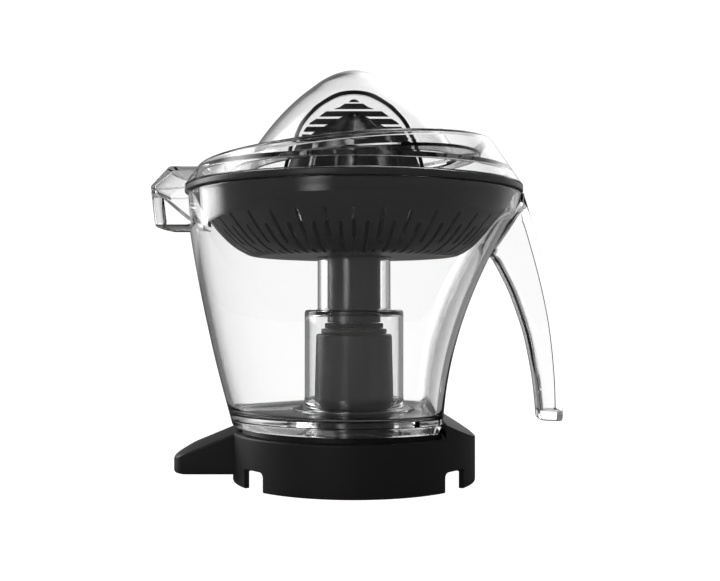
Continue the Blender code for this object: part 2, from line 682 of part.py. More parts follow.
def mirrored_path(half_path):
    """Right half from foot to crown, followed by the left half back down."""
    if half_path[-1][0] < 0.01:
        return half_path + [(-x, z) for x, z in reversed(half_path[:-1])]
    return half_path + [(-x, z) for x, z in reversed(half_path)]


def make_press():
    """Arch press: black hoop, clear window behind and a slotted dark panel in front."""
    arch_half = smooth_path(ARCH_OUTLINE, 3)
    arch = mirrored_path(arch_half)
    inside = offset_path(arch, ARCH_BAND)
    plate("press_arch", arch + inside[::-1], -ARCH_HALF, ARCH_HALF, "black_plastic")
    window = offset_path(arch, ARCH_BAND + GAP)
    plate("press_window", window, 0.4, 1.4, "clear_plastic")
    panel = plate("press_louvre", mirrored_path(list(LOUVRE_OUTLINE)), -1.2, 0.1, "dark_plastic")
    for index, (low, high) in enumerate(LOUVRE_GAPS):
        for side in (-1, 1):
            near, far = sorted((side * LOUVRE_SPINE, side * 40))
            cut(panel, box(f"louvre_gap_{index}_{side + 1}", (near, -5, low), (far, 5, high)))
    vane_half = [(8.8, 166.9), (4.1, 169.1)]
    plate("press_vane_upper", mirrored_path(vane_half), -1.2, 0.1, "dark_plastic")
    tip_half = [(2.2, 169.9), (1.3, 170.9), (0.0, 171.2)]
    plate("press_vane_tip", mirrored_path(tip_half), -1.2, 0.1, "dark_plastic")


# ---------------------------------------------------------------- lid

def ridge_height(x):
    return RIDGE_Z + RIDGE_TILT * x


def skirt_radius(z):
    return RIM_R - LID_CONE * (z - LID_LOW)


def lid_profile(turn):
    """Outer profile of the lid in one direction, from the skirt's foot to near the crown."""
    lean = RIDGE_TILT * math.cos(turn)
    # The ridge lies where the skirt cone meets the tilted plane.
    ridge_r = (RIM_R - LID_CONE * (RIDGE_Z - LID_LOW)) / (1 + LID_CONE * lean)
    moat_z = RIDGE_Z - MOAT_DROP
    profile = [(RIM_R, LID_LOW), (skirt_radius(137.0), 137.0),
               (ridge_r, RIDGE_Z + lean * ridge_r), (ridge_r - 2.4, RIDGE_Z + lean * (ridge_r - 2.4)),
               (MOAT_OUT_R, moat_z + lean * MOAT_OUT_R), (MOAT_IN_R, moat_z + lean * MOAT_IN_R)]
    return profile + list(DOME)


def make_lid():
    skin = Skin()
    count = 40
    turns = [math.tau * k / count for k in range(count)]
    outer = [lid_profile(turn) for turn in turns]
    inner = [offset_path(profile, LID_WALL) for profile in outer]
    rings = {}
    for side, profiles in (("outer", outer), ("inner", inner)):
        rings[side] = []
        for row in range(len(profiles[0])):
            first = len(skin.points)
            for turn, profile in zip(turns, profiles):
                radius, z = profile[row]
                if side == "inner" and row == 0:
                    z = LID_LOW
                skin.points.append((radius * math.cos(turn), radius * math.sin(turn), z))
            rings[side].append(list(range(first, len(skin.points))))
        skin.chain(rings[side])
    skin.bridge(rings["outer"][0], rings["inner"][0])
    skin.apex(rings["outer"][-1], LID_TOP)
    skin.apex(rings["inner"][-1], LID_TOP - LID_WALL)
    lid = make_object("lid", skin, "clear_plastic")

    def cover_box(name, inset, low):
        return loft(name, ((spout_plan(SPOUT_R_TOP - inset, SPOUT_HALF - inset), low),
                           (spout_plan(SPOUT_R_TOP - inset, SPOUT_HALF - inset), COVER_BOX_LOW + 1.2),
                           (spout_plan(COVER_TOP_R - inset, SPOUT_HALF - inset), COVER_BOX_TOP - inset)))

    cover = cover_box("cover_tool", 0.0, COVER_BOX_LOW)
    cut(cover, cover_box("cover_cavity", LID_WALL, COVER_BOX_LOW - 2))
    keeper = ((RIM_R + 0.4, 120), (RIM_R + 0.4, LID_LOW), (skirt_radius(LID_LOW) - 1.1, LID_LOW),
              (skirt_radius(142) - 1.1, 142))
    cut(cover, turned("cover_skirt_keeper", keeper, None, 40, closed=False))
    join(lid, cover)


def build():
    clear_scene()
    make_materials()
    assembly = bpy.data.objects.new("assembly", None)
    bpy.context.scene.collection.objects.link(assembly)
    assembly.location = (DRIVE_AXIS_X * MM, 0, 0)
    ASSEMBLY.append(assembly)
    make_base_housing()
    make_base_cover()
    make_tower()
    make_gears()
    make_drive_line()
    make_jug()
    make_basket()
    make_cone()
    make_press()
    make_lid()


build()
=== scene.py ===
"""Looks of the citrus press juicer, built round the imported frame.

Shapes are drawn in millimetres from the drive axis and made in metres. The frame's origin is
under the middle of the object, so everything is moved to the axis, which is read from the record.
"""
import json
import math

import bmesh
import bpy
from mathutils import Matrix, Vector

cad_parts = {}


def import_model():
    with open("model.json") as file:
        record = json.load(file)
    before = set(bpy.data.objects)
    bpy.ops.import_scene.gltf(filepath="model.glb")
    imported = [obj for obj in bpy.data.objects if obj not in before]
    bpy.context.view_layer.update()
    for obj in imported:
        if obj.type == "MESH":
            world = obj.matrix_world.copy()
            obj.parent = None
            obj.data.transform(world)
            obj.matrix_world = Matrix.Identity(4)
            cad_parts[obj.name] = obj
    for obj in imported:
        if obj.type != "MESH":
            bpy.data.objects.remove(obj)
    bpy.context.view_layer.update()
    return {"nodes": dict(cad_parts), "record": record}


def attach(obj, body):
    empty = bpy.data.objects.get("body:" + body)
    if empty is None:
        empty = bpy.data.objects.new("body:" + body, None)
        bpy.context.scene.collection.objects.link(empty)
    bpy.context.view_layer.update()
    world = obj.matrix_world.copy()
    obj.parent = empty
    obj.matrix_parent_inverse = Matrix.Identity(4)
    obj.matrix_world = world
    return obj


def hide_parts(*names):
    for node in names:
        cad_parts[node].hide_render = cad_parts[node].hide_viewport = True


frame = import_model()

MM = 0.001
TINY = 1e-6
AXIS = next(j for j in frame["record"]["behaviour"]["joints"] if j["name"] == "cone_spin")["pos_m"]
AXIS_X = AXIS[0] / MM


# ---- paths

NEARLY_STRAIGHT = math.pi - 0.02
MOST_OF_SIDE = 0.48


def smooth_path(points, steps):
    """Catmull-Rom curve through the points, with the given steps in each span."""
    pts = [Vector(p) for p in points]
    ends = [2 * pts[0] - pts[1]] + pts + [2 * pts[-1] - pts[-2]]
    path = []
    for a, b, c, d in zip(ends, ends[1:], ends[2:], ends[3:]):
        for k in range(steps):
            t = k / steps
            path.append(0.5 * (2 * b + (c - a) * t + (2 * a - 5 * b + 4 * c - d) * t ** 2
                               + (3 * b - a - 3 * c + d) * t ** 3))
    return [tuple(p) for p in path] + [tuple(pts[-1])]


def fillet(points, steps=5, closed=True):
    """Rounds the corners that have a radius, as a third number above 0, with curves close to arcs."""
    count = len(points)
    path = []
    for i, point in enumerate(points):
        here = Vector(point[:2])
        if not closed and i in (0, count - 1):
            path.append(tuple(here))
            continue
        before, after = Vector(points[i - 1][:2]), Vector(points[(i + 1) % count][:2])
        back, ahead = before - here, after - here
        want = point[2] if len(point) > 2 else 0
        angle = back.angle(ahead)
        if want <= 0 or angle > NEARLY_STRAIGHT or min(back.length, ahead.length) < TINY:
            path.append(tuple(here))
            continue
        reach = min(want / math.tan(angle / 2), MOST_OF_SIDE * back.length, MOST_OF_SIDE * ahead.length)
        start, end = here + back.normalized() * reach, here + ahead.normalized() * reach
        for k in range(steps + 1):
            t = k / steps
            path.append(tuple((1 - t) ** 2 * start + 2 * t * (1 - t) * here + t ** 2 * end))
    return path


def mitre(before, here, after, least):
    """Direction to the left at a corner, and the share of it that crosses a side, at least the least."""
    sides = []
    for start, end in ((before, here), (here, after)):
        along = Vector((end[0] - start[0], end[1] - start[1]))
        if along.length > TINY:
            sides.append(Vector((-along.y, along.x)).normalized())
    left = sum(sides, Vector((0, 0))).normalized()
    return left, max(left.dot(sides[0]), least)


def offset_path(points, distance):
    """The open path moved to its left by the distance, with mitred corners."""
    moved = []
    for i, here in enumerate(points):
        left, share = mitre(points[max(i - 1, 0)], here, points[min(i + 1, len(points) - 1)], 0.5)
        reach = distance / share
        moved.append((here[0] + left.x * reach, here[1] + left.y * reach))
    return moved


def read_curve(path, x):
    """The second coordinate of a path at a value of the first, which rises along the path."""
    for (x0, y0), (x1, y1) in zip(path, path[1:]):
        if x <= x1:
            return y0 + (y1 - y0) * (x - x0) / (x1 - x0)
    return path[-1][1]


def circle(count, radius, start=0.0):
    return [(radius * math.cos(start + math.tau * i / count),
             radius * math.sin(start + math.tau * i / count)) for i in range(count)]


def polar(radius, degrees):
    return radius * math.cos(math.radians(degrees)), radius * math.sin(math.radians(degrees))


def span(low, high, count):
    return [low + (high - low) * k / (count - 1) for k in range(count)]


# ---- meshes

MERGE_GAP = 0.01
NORMAL_WEIGHT = 60


class Skin:
    """Collects rings of points and joins them into one closed surface."""

    def __init__(self):
        self.points, self.faces = [], []

    def ring(self, outline, z):
        first = len(self.points)
        self.points += [(x, y, z) for x, y in outline]
        return list(range(first, len(self.points)))

    def round_rings(self, profile, count, start=0.0):
        return [self.ring(circle(count, r, start), z) for r, z in profile]

    def ring3(self, outline):
        first = len(self.points)
        self.points += outline
        return list(range(first, len(self.points)))

    def bridge(self, a, b, skip=()):
        """Quads between equal rings, without the skipped columns, or triangles between unequal ones."""
        if len(a) == len(b):
            n = len(a)
            self.faces += [(a[i], a[(i + 1) % n], b[(i + 1) % n], b[i]) for i in range(n) if i not in skip]
            return
        i = j = 0
        while i < len(a) or j < len(b):
            if j >= len(b) or (i < len(a) and (i + 1) / len(a) <= (j + 1) / len(b)):
                self.faces.append((a[i], a[(i + 1) % len(a)], b[j % len(b)]))
                i += 1
            else:
                self.faces.append((a[i % len(a)], b[(j + 1) % len(b)], b[j]))
                j += 1

    def chain(self, rings, closed=False):
        for a, b in zip(rings, rings[1:]):
            self.bridge(a, b)
        if closed:
            self.bridge(rings[-1], rings[0])

    def cap(self, ring):
        self.faces.append(tuple(ring))

    def solid(self, rings):
        """Chains the rings and caps both ends."""
        self.chain(rings)
        self.cap(rings[0])
        self.cap(rings[-1])

    def apex(self, ring, z):
        tip = len(self.points)
        self.points.append((0, 0, z))
        n = len(ring)
        self.faces += [(ring[i], ring[(i + 1) % n], tip) for i in range(n)]


def make_object(name, skin, material=None, sharp=35, at=(0, 0)):
    mesh = bpy.data.meshes.new(name)
    shift = (AXIS_X + at[0], at[1], 0)
    mesh.from_pydata([tuple((c + s) * MM for c, s in zip(p, shift)) for p in skin.points], [], skin.faces)
    shell = bmesh.new()
    shell.from_mesh(mesh)
    bmesh.ops.delete(shell, geom=[v for v in shell.verts if not v.link_faces], context="VERTS")
    bmesh.ops.recalc_face_normals(shell, faces=shell.faces)
    shell.to_mesh(mesh)
    shell.free()
    mesh.shade_smooth()
    mesh.set_sharp_from_angle(angle=math.radians(sharp))
    obj = bpy.data.objects.new(name, mesh)
    bpy.context.scene.collection.objects.link(obj)
    if material:
        mesh.materials.append(material)
    return obj


def apply_modifier(obj):
    result = bpy.data.meshes.new_from_object(obj.evaluated_get(bpy.context.evaluated_depsgraph_get()))
    obj.modifiers.clear()
    obj.data = result


def boolean(obj, tool, operation):
    """Applies a Boolean with a tool object, which is used up."""
    step = obj.modifiers.new("step", "BOOLEAN")
    step.operation = operation
    step.solver = "EXACT"
    step.object = tool
    apply_modifier(obj)
    bpy.data.objects.remove(tool, do_unlink=True)


def cut(obj, tool):
    boolean(obj, tool, "DIFFERENCE")


def join(obj, tool):
    boolean(obj, tool, "UNION")


def clean(obj, sharp=35):
    """Merges slivers that a Boolean leaves, and sets the shading again."""
    shell = bmesh.new()
    shell.from_mesh(obj.data)
    bmesh.ops.remove_doubles(shell, verts=shell.verts, dist=MERGE_GAP * MM)
    bmesh.ops.dissolve_degenerate(shell, edges=shell.edges, dist=MERGE_GAP / 2 * MM)
    bmesh.ops.recalc_face_normals(shell, faces=shell.faces)
    shell.to_mesh(obj.data)
    shell.free()
    obj.data.shade_smooth()
    obj.data.set_sharp_from_angle(angle=math.radians(sharp))


def turned(name, profile, material=None, count=128, closed=True, at=(0, 0), start=0.0):
    """Turned solid. A closed profile goes round a bore; an open one is capped at both ends."""
    skin = Skin()
    rings = skin.round_rings(profile, count, start)
    if closed:
        skin.chain(rings, closed=True)
    else:
        skin.solid(rings)
    return make_object(name, skin, material, at=at)


def rod(name, radius, low, high, count, at=(0, 0), start=0.0):
    return turned(name, [(radius, low), (radius, high)], None, count, closed=False, at=at, start=start)


def loft(name, sections, sharp=35):
    """Solid through horizontal sections of equal point count, each (outline, z)."""
    skin = Skin()
    skin.solid([skin.ring(outline, z) for outline, z in sections])
    return make_object(name, skin, sharp=sharp)


def plate(name, outline, near, far, material=None, bevel=0.0):
    """Outline in the XZ plane given thickness along Y, with rounded long edges."""
    points = [Vector(p) for p in outline]
    area = sum(a.x * b.y - b.x * a.y for a, b in zip(points, points[1:] + points[:1]))
    inward = bevel if area > 0 else -bevel
    shrunk = []
    for before, here, after in zip(points[-1:] + points[:-1], points, points[1:] + points[:1]):
        left, share = mitre(before, here, after, 0.6)
        shrunk.append(here + left * (inward / share))
    skin = Skin()
    steps = ((near, 1.0), (near + 0.3 * bevel, 0.3), (near + bevel, 0.0),
             (far - bevel, 0.0), (far - 0.3 * bevel, 0.3), (far, 1.0))
    if not bevel:
        steps = ((near, 0.0), (far, 0.0))
    skin.solid([skin.ring3([(x + (sx - x) * k, y, z + (sz - z) * k)
                            for (x, z), (sx, sz) in zip(outline, shrunk)]) for y, k in steps])
    return make_object(name, skin, material)


def box(name, low, high):
    outline = ((low[0], low[1]), (high[0], low[1]), (high[0], high[1]), (low[0], high[1]))
    return loft(name, ((outline, low[2]), (outline, high[2])))


def weigh_normals(obj):
    """Makes the shading follow the larger faces, so that flat faces look flat up to their edges."""
    step = obj.modifiers.new("step", "WEIGHTED_NORMAL")
    step.keep_sharp = True
    step.weight = NORMAL_WEIGHT
    apply_modifier(obj)


def finish_piece(obj, body, node):
    """The piece rides a body and stands in for a CAD node, which is hidden."""
    weigh_normals(obj)
    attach(obj, body)
    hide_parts(node)


# ---- materials

# Bumps per metre of the slow gloss changes, of the moulded ripples, of haze and of scratches.
GLOSS_SCALE, RIPPLE_SCALE, HAZE_SCALE, SCRATCH_SCALE = 22, 16, 260, 420
SCRATCH_STRETCH = 14
# The range that most of a noise lies in.
NOISE_RANGE = (0.3, 0.7)
CLEAR_IOR = 1.49


def settings(node, **values):
    """Sets inputs of a node; the words of a label are joined by underscores."""
    for label, value in values.items():
        node.inputs[label.replace("_", " ")].default_value = value


def start_material(name, colour, roughness, metallic=0.0):
    made = bpy.data.materials.new(name)
    made.use_nodes = True
    tree = made.node_tree
    shader = tree.nodes["Principled BSDF"]
    settings(shader, Base_Color=(*colour, 1), Roughness=roughness, Metallic=metallic)
    coords = tree.nodes.new("ShaderNodeTexCoord")
    return made, tree, shader, coords


def noise_layer(tree, coords, scale, detail=3.0):
    """Noise in object space; scale is in bumps per metre."""
    layer = tree.nodes.new("ShaderNodeTexNoise")
    settings(layer, Scale=scale, Detail=detail)
    tree.links.new(coords.outputs["Object"], layer.inputs["Vector"])
    return layer.outputs["Fac"]


def map_range(tree, value, source, target, kind="LINEAR"):
    """Maps a value from one range to another and holds it at both ends."""
    step = tree.nodes.new("ShaderNodeMapRange")
    step.interpolation_type = kind
    settings(step, From_Min=source[0], From_Max=source[1], To_Min=target[0], To_Max=target[1])
    tree.links.new(value, step.inputs["Value"])
    return step.outputs["Result"]


def bump(tree, shader, height, distance, strength=1.0):
    node = tree.nodes.new("ShaderNodeBump")
    settings(node, Strength=strength, Distance=distance)
    tree.links.new(height, node.inputs["Height"])
    tree.links.new(node.outputs["Normal"], shader.inputs["Normal"])


def moulded_plastic(name, dark, light, roughness, spread, grain, depth, specular=0.5):
    """Opaque moulded plastic: fine spark-eroded grain, slow gloss changes and faint mottling."""
    made, tree, shader, coords = start_material(name, dark, roughness)
    settings(shader, Specular_IOR_Level=specular)
    slow = noise_layer(tree, coords, GLOSS_SCALE, 2.0)
    fine = noise_layer(tree, coords, grain, 4.0)
    gloss = map_range(tree, slow, NOISE_RANGE, (roughness - spread, roughness + spread))
    tree.links.new(gloss, shader.inputs["Roughness"])
    blend = tree.nodes.new("ShaderNodeMix")
    blend.data_type = "RGBA"
    settings(blend, A=(*dark, 1), B=(*light, 1))
    tree.links.new(fine, blend.inputs["Factor"])
    tree.links.new(blend.outputs["Result"], shader.inputs["Base Color"])
    bump(tree, shader, fine, depth)
    return made


def clear_plastic(name, tint, roughness, ripple):
    """Clear moulded plastic with the slight surface waves that moulding leaves."""
    made, tree, shader, coords = start_material(name, tint, roughness)
    settings(shader, Transmission_Weight=1.0, IOR=CLEAR_IOR)
    slow = noise_layer(tree, coords, RIPPLE_SCALE, 1.0)
    fine = noise_layer(tree, coords, HAZE_SCALE, 2.0)
    gloss = map_range(tree, fine, NOISE_RANGE, (roughness * 0.4, roughness * 1.6))
    tree.links.new(gloss, shader.inputs["Roughness"])
    bump(tree, shader, slow, ripple)
    return made


def metal(name, colour, roughness, scratch):
    """Turned or plated metal: fine scratches with a slow change of gloss."""
    made, tree, shader, coords = start_material(name, colour, roughness, 1.0)
    stretch = tree.nodes.new("ShaderNodeMapping")
    settings(stretch, Scale=(1, 1, SCRATCH_STRETCH))
    tree.links.new(coords.outputs["Object"], stretch.inputs["Vector"])
    lines = tree.nodes.new("ShaderNodeTexNoise")
    settings(lines, Scale=SCRATCH_SCALE)
    tree.links.new(stretch.outputs["Vector"], lines.inputs["Vector"])
    gloss = map_range(tree, lines.outputs["Fac"], NOISE_RANGE, (roughness * 0.7, roughness * 1.4))
    tree.links.new(gloss, shader.inputs["Roughness"])
    bump(tree, shader, lines.outputs["Fac"], scratch, 0.5)
    return made


BLACK = moulded_plastic("black_plastic", (0.0150, 0.0150, 0.0155), (0.0210, 0.0210, 0.0215),
                        roughness=0.46, spread=0.05, grain=2600, depth=0.000006, specular=0.25)
# Darker copy of the black plastic, with painted shade, for the press arch: the arch is the same black plastic
# as the base, and this copy stands in for the shade it gets inside the clear lid.
PAINTED_SHADE_BLACK = moulded_plastic("black_plastic_painted_shade", (0.0025, 0.0025, 0.0027), (0.0040, 0.0040, 0.0042),
                      roughness=0.50, spread=0.05, grain=2600, depth=0.000004, specular=0.12)
DARK = moulded_plastic("dark_plastic", (0.0380, 0.0380, 0.0385), (0.0450, 0.0450, 0.0455),
                       roughness=0.33, spread=0.04, grain=1900, depth=0.000003, specular=0.4)
GLOSS = moulded_plastic("cone_plastic", (0.0300, 0.0300, 0.0305), (0.0360, 0.0360, 0.0365),
                        roughness=0.20, spread=0.04, grain=1900, depth=0.000002, specular=0.8)
HUB = moulded_plastic("hub_plastic", (0.095, 0.095, 0.096), (0.112, 0.112, 0.113),
                      roughness=0.32, spread=0.03, grain=1500, depth=0.000003)
CLEAR = clear_plastic("clear_plastic", (0.990, 0.990, 0.990), roughness=0.006, ripple=0.000002)
GEAR = moulded_plastic("gear_plastic", (0.70, 0.69, 0.64), (0.80, 0.79, 0.75),
                       roughness=0.45, spread=0.05, grain=900, depth=0.00001)
STEEL = metal("steel", (0.62, 0.62, 0.63), roughness=0.24, scratch=0.000004)
BRONZE = metal("bronze", (0.52, 0.34, 0.15), roughness=0.40, scratch=0.000008)
RUBBER = moulded_plastic("rubber", (0.016, 0.016, 0.016), (0.022, 0.022, 0.022),
                         roughness=0.62, spread=0.04, grain=1200, depth=0.00002)


# ---- jug

JUG_LOW, JUG_RIM = 24.7, 127.4
JUG_WALL = 2.5
JUG_OUTLINE = smooth_path(((24.7, 54.6), (48, 60.8), (67, 65.2), (88, 69.5), (110.6, 73.3), (127.4, 74.8)), 6)
# The flat wall on the handle's side: its foot, how far and how fast it leans out, and where it ends.
FLAT_FOOT_X, FLAT_LEAN, FLAT_RISE, FLAT_POWER = 37.6, 32.4, 92.3, 2.12
FADE_FROM, FADE_TO, FADE_REACH = 112.0, 124.0, 16.0
CORNER = 20
FLOOR_TOP, FLOOR_UNDER = 31.0, 28.8
FLOOR_ROUND, FLOOR_RING_R = 3.2, 30
TUBE_R, TUBE_BORE_R = 22.3, 20.3
FLARE = 5.0
NECK_R, NECK_BORE_R = 16.5, 14.6
NECK_LOW, TUBE_TOP = 76.0, 121.0
SPOUT_HALF = 21.6
SPOUT_R_TOP, SPOUT_R_LOW = 90.1, 88.4
SPOUT_LOW, SPOUT_TOP = 112.4, 128.1
SPOUT_WALL = 2.0
RIM_R = 75.5
RIM_GAP = 0.35
LID_LOW = 130.5


def flat_wall_x(z):
    """Distance of the flat wall from the axis; it leans out and dies into the round wall."""
    lean = FLAT_LEAN * (max(z - JUG_LOW, 0) / FLAT_RISE) ** FLAT_POWER
    return FLAT_FOOT_X + lean + FADE_REACH * max(0.0, (z - FADE_FROM) / (FADE_TO - FADE_FROM)) ** 2


def jug_section(z, inset, count):
    """Round wall with a flat side; the power CORNER blends one into the other."""
    full = read_curve(JUG_OUTLINE, z) - inset
    flat = flat_wall_x(z) - inset
    outline = []
    for x, y in circle(count, 1.0):
        reach = full
        if x > 0.05:
            reach = (full ** -CORNER + (flat / x) ** -CORNER) ** (-1 / CORNER)
        outline.append((reach * x, reach * y))
    return outline


def jug_vessel(count=256):
    """Wall with rounded rim and foot, filleted floor and the stepped centre tube."""
    skin = Skin()
    wall = [(0.5, JUG_LOW), (0.15, JUG_LOW + 0.3), (0.0, JUG_LOW + 0.9)]
    wall += [(0.0, z) for z in span(JUG_LOW + 3, JUG_RIM - 1.2, 44)]
    wall += [(0.05, JUG_RIM - 0.7), (0.3, JUG_RIM - 0.2), (0.8, JUG_RIM), (1.7, JUG_RIM),
             (2.2, JUG_RIM - 0.2), (2.45, JUG_RIM - 0.7)]
    wall += [(JUG_WALL, z) for z in span(JUG_RIM - 1.2, FLOOR_TOP + 4, 44)]
    wall += [(JUG_WALL + FLOOR_ROUND * (1 - math.cos(a)), FLOOR_TOP + FLOOR_ROUND * (1 - math.sin(a)))
             for a in span(0.25, math.pi / 2, 7)]
    rings = [skin.ring(jug_section(z, inset, count), z) for inset, z in wall]
    tube = [(FLOOR_RING_R, FLOOR_TOP, 0), (TUBE_R + FLARE + 0.5, FLOOR_TOP, 0.3),
            (TUBE_R + FLARE + 0.4, FLOOR_TOP + 1.0, 0.3)]
    tube += [(TUBE_R + FLARE * (1 - math.cos(a)), FLOOR_TOP + 1.0 + FLARE * (1 - math.sin(a)), 0)
             for a in span(math.pi / 2, 0, 10)]
    tube += [(TUBE_R, NECK_LOW, 1.6), (NECK_R, NECK_LOW, 0.8), (NECK_R - 0.1, TUBE_TOP, 0.6),
             (NECK_BORE_R, TUBE_TOP, 0.6), (NECK_BORE_R, NECK_LOW - 2, 0.8), (TUBE_BORE_R, NECK_LOW - 2, 1.2),
             (TUBE_BORE_R, JUG_LOW + 0.3, 0.4), (TUBE_R, JUG_LOW + 0.3, 0.4), (TUBE_R, FLOOR_UNDER, 0.8),
             (FLOOR_RING_R, FLOOR_UNDER, 0)]
    rings += skin.round_rings(fillet(tube, closed=False), 128)
    under = [(JUG_WALL + 1.2, FLOOR_UNDER), (JUG_WALL + 0.3, FLOOR_UNDER - 0.4),
             (JUG_WALL, FLOOR_UNDER - 1.2), (JUG_WALL, JUG_LOW + 0.5), (JUG_WALL - 0.4, JUG_LOW)]
    rings += [skin.ring(jug_section(JUG_LOW + 2, inset, count), z) for inset, z in under]
    skin.chain(rings, closed=True)
    return make_object("jug_clear", skin, CLEAR, 50)


def spout_plan(radius, half, inner_x, corner, arc_steps=16):
    """Plan of a box whose outer end is an arc about the drive axis, with rounded corners."""
    reach = math.asin(half / radius)
    arc = [(-radius * math.cos(reach * k / arc_steps), -radius * math.sin(reach * k / arc_steps))
           for k in range(-arc_steps, arc_steps + 1)]
    first, last = arc[0], arc[-1]
    outline = [(inner_x, half), (*first, corner)] + arc[2:-2] + [(*last, corner), (inner_x, -half)]
    return fillet(outline)


def spout_solid(name, inset, sections, inner_x=-60.0, corner=2.2):
    """Spout-shaped solid through sections, each (end radius, z, pull of the sides)."""
    inner_corner = max(corner - inset, 0.4)
    return loft(name, [(spout_plan(r - inset, SPOUT_HALF - inset - pull, inner_x, inner_corner), z)
                       for r, z, pull in sections], sharp=40)


def jug_spout():
    """Spout box outside the middle of the jug's wall and clear of the rim above it."""
    sections = [(SPOUT_R_LOW - 1.3, SPOUT_LOW, 0.9), (SPOUT_R_LOW - 0.35, SPOUT_LOW + 0.35, 0.25),
                (SPOUT_R_LOW, SPOUT_LOW + 1.2, 0.0), (SPOUT_R_TOP, SPOUT_TOP - 0.5, 0.0),
                (SPOUT_R_TOP - 0.4, SPOUT_TOP, 0.3)]
    spout = spout_solid("spout", 0.0, sections)
    wall = [(read_curve(JUG_OUTLINE, z) - JUG_WALL / 2, z) for z in span(104, JUG_RIM - 0.1, 12)]
    wall += [(RIM_R + RIM_GAP, JUG_RIM - 0.05), (RIM_R + RIM_GAP, 135)]
    cut(spout, turned("keeper", wall, None, 256, closed=False))
    return spout


def trough_cutter():
    """Space inside the spout: an arc-ended box cut off below by the sloping floor."""
    ends = [(SPOUT_R_TOP, 100, 0), (SPOUT_R_TOP, 140, 0)]
    space = spout_solid("space", SPOUT_WALL, ends, inner_x=-66.0, corner=3.2)
    low, high = SPOUT_LOW + 2.2, SPOUT_TOP - 1.5
    floor = fillet([(-50, 90), (-50, low), (-71.5, low, 3), (-85.6, high, 3), (-99, high), (-99, 90)], 6)
    cut(space, plate("floor", floor, -40, 40))
    return space


HANDLE_OUTER = ((74.9, 127.3), (80.8, 107.6), (85.8, 88.7), (89.8, 68.5), (92.1, 46.6), (92.8, 28.7))
HANDLE_INNER = ((63.3, 98.6), (69.6, 86.4), (73.7, 75.8), (77.1, 65.2), (79.4, 54.6), (81.2, 44.0),
                (82.3, 33.4), (82.6, 28.7))
HANDLE_HALF_TOP, HANDLE_HALF_LOW = 12.0, 9.8
HANDLE_ROOT = ((73.2, 127.2), (72.9, 122), (69.4, 116.5), (65.4, 110.5), (61.2, 104.5), (59.6, 101.6))
HANDLE_WALL = 2.2
HANDLE_ROUND, FOOT_ROUND = 6.5, 2.4
POCKET_LOW, POCKET_HIGH, POCKET_REACH = 29.6, 125.6, 6.0


def handle_rails(count=64):
    """Matching points down the handle's inner and outer edges, from the rim to the foot.

    The inner edge first runs down inside the jug's wall, along the root.
    """
    inner = smooth_path(HANDLE_ROOT, 4)[:-1] + smooth_path(HANDLE_INNER, 8)
    edges = []
    for path in (inner, smooth_path(HANDLE_OUTER, 24)):
        lengths = [0.0]
        for a, b in zip(path, path[1:]):
            lengths.append(lengths[-1] + math.dist(a, b))
        along = [read_curve(list(zip(lengths, [p[k] for p in path])), lengths[-1] * step / (count - 1))
                 for k in (0, 1) for step in range(count)]
        edges.append([Vector(p) for p in zip(along[:count], along[count:])])
    return list(zip(*edges))


def handle_half(z):
    """Half of the handle's width, which narrows a little towards the foot."""
    share = (z - HANDLE_INNER[-1][1]) / (HANDLE_OUTER[0][1] - HANDLE_INNER[-1][1])
    return HANDLE_HALF_LOW + (HANDLE_HALF_TOP - HANDLE_HALF_LOW) * share


def handle_section(depth, half, inner_round, outer_round):
    """Cross-section with a round inner side and two flanges, in depth and width."""
    reach = min(inner_round, 0.9 * depth)
    side = [(reach * (1 - math.cos(a)), -half + inner_round * (1 - math.sin(a)))
            for a in span(0, math.pi / 2, 9)]
    corner = [(depth - outer_round * (1 - math.sin(a)), -half + outer_round * (1 - math.cos(a)))
              for a in span(0, math.pi / 2, 4)]
    lower = side + corner
    return lower + [(u, -v) for u, v in reversed(lower)]


def handle_loft(name, rails, gap, reach, rounds, foot):
    """Bar between the rails, inset by the gap, closed below by a rounded foot."""
    skin = Skin()
    rings = []
    for a, b in rails:
        across = (b - a).normalized()
        depth = (b - a).length - gap + reach
        section = handle_section(depth, handle_half(a.y) - gap, *rounds)
        rings.append(skin.ring3([(a.x + across.x * (gap + u), v, a.y + across.y * (gap + u))
                                 for u, v in section]))
    last = [skin.points[i] for i in rings[-1]]
    middle_x = sum(p[0] for p in last) / len(last)
    for drop, pull in foot:
        ring = []
        for x, y, z in last:
            away = max(math.hypot(x - middle_x, y), TINY)
            ring.append((x - (x - middle_x) / away * pull, y - y / away * pull, z - drop))
        rings.append(skin.ring3(ring))
    skin.solid(rings)
    return make_object(name, skin, sharp=45)


def jug_handle():
    """Hook handle with a pocket that is open on its outer side."""
    rails = handle_rails()
    foot = [(FOOT_ROUND * math.sin(a), FOOT_ROUND * (1 - math.cos(a))) for a in span(0, math.pi / 2, 6)]
    bar = handle_loft("handle", rails, 0.0, 0.0, (HANDLE_ROUND, 0.5), foot[1:])
    halfway = [((a + c) / 2, (b + d) / 2) for (a, b), (c, d) in zip(rails, rails[1:])]
    hollow = [pair for pair in halfway if POCKET_LOW < pair[0].y and pair[1].y < POCKET_HIGH]
    rounds = (HANDLE_ROUND - HANDLE_WALL, 0.2)
    cut(bar, handle_loft("pocket", hollow, HANDLE_WALL, POCKET_REACH, rounds, ((0.3, 0.1), (0.5, 0.4))))
    return bar


def make_jug():
    jug = jug_vessel()
    join(jug, jug_spout())
    cut(jug, trough_cutter())
    join(jug, jug_handle())
    clean(jug, 40)
    finish_piece(jug, "jug", "jug")


# ---- lid

LID_WALL = 1.8
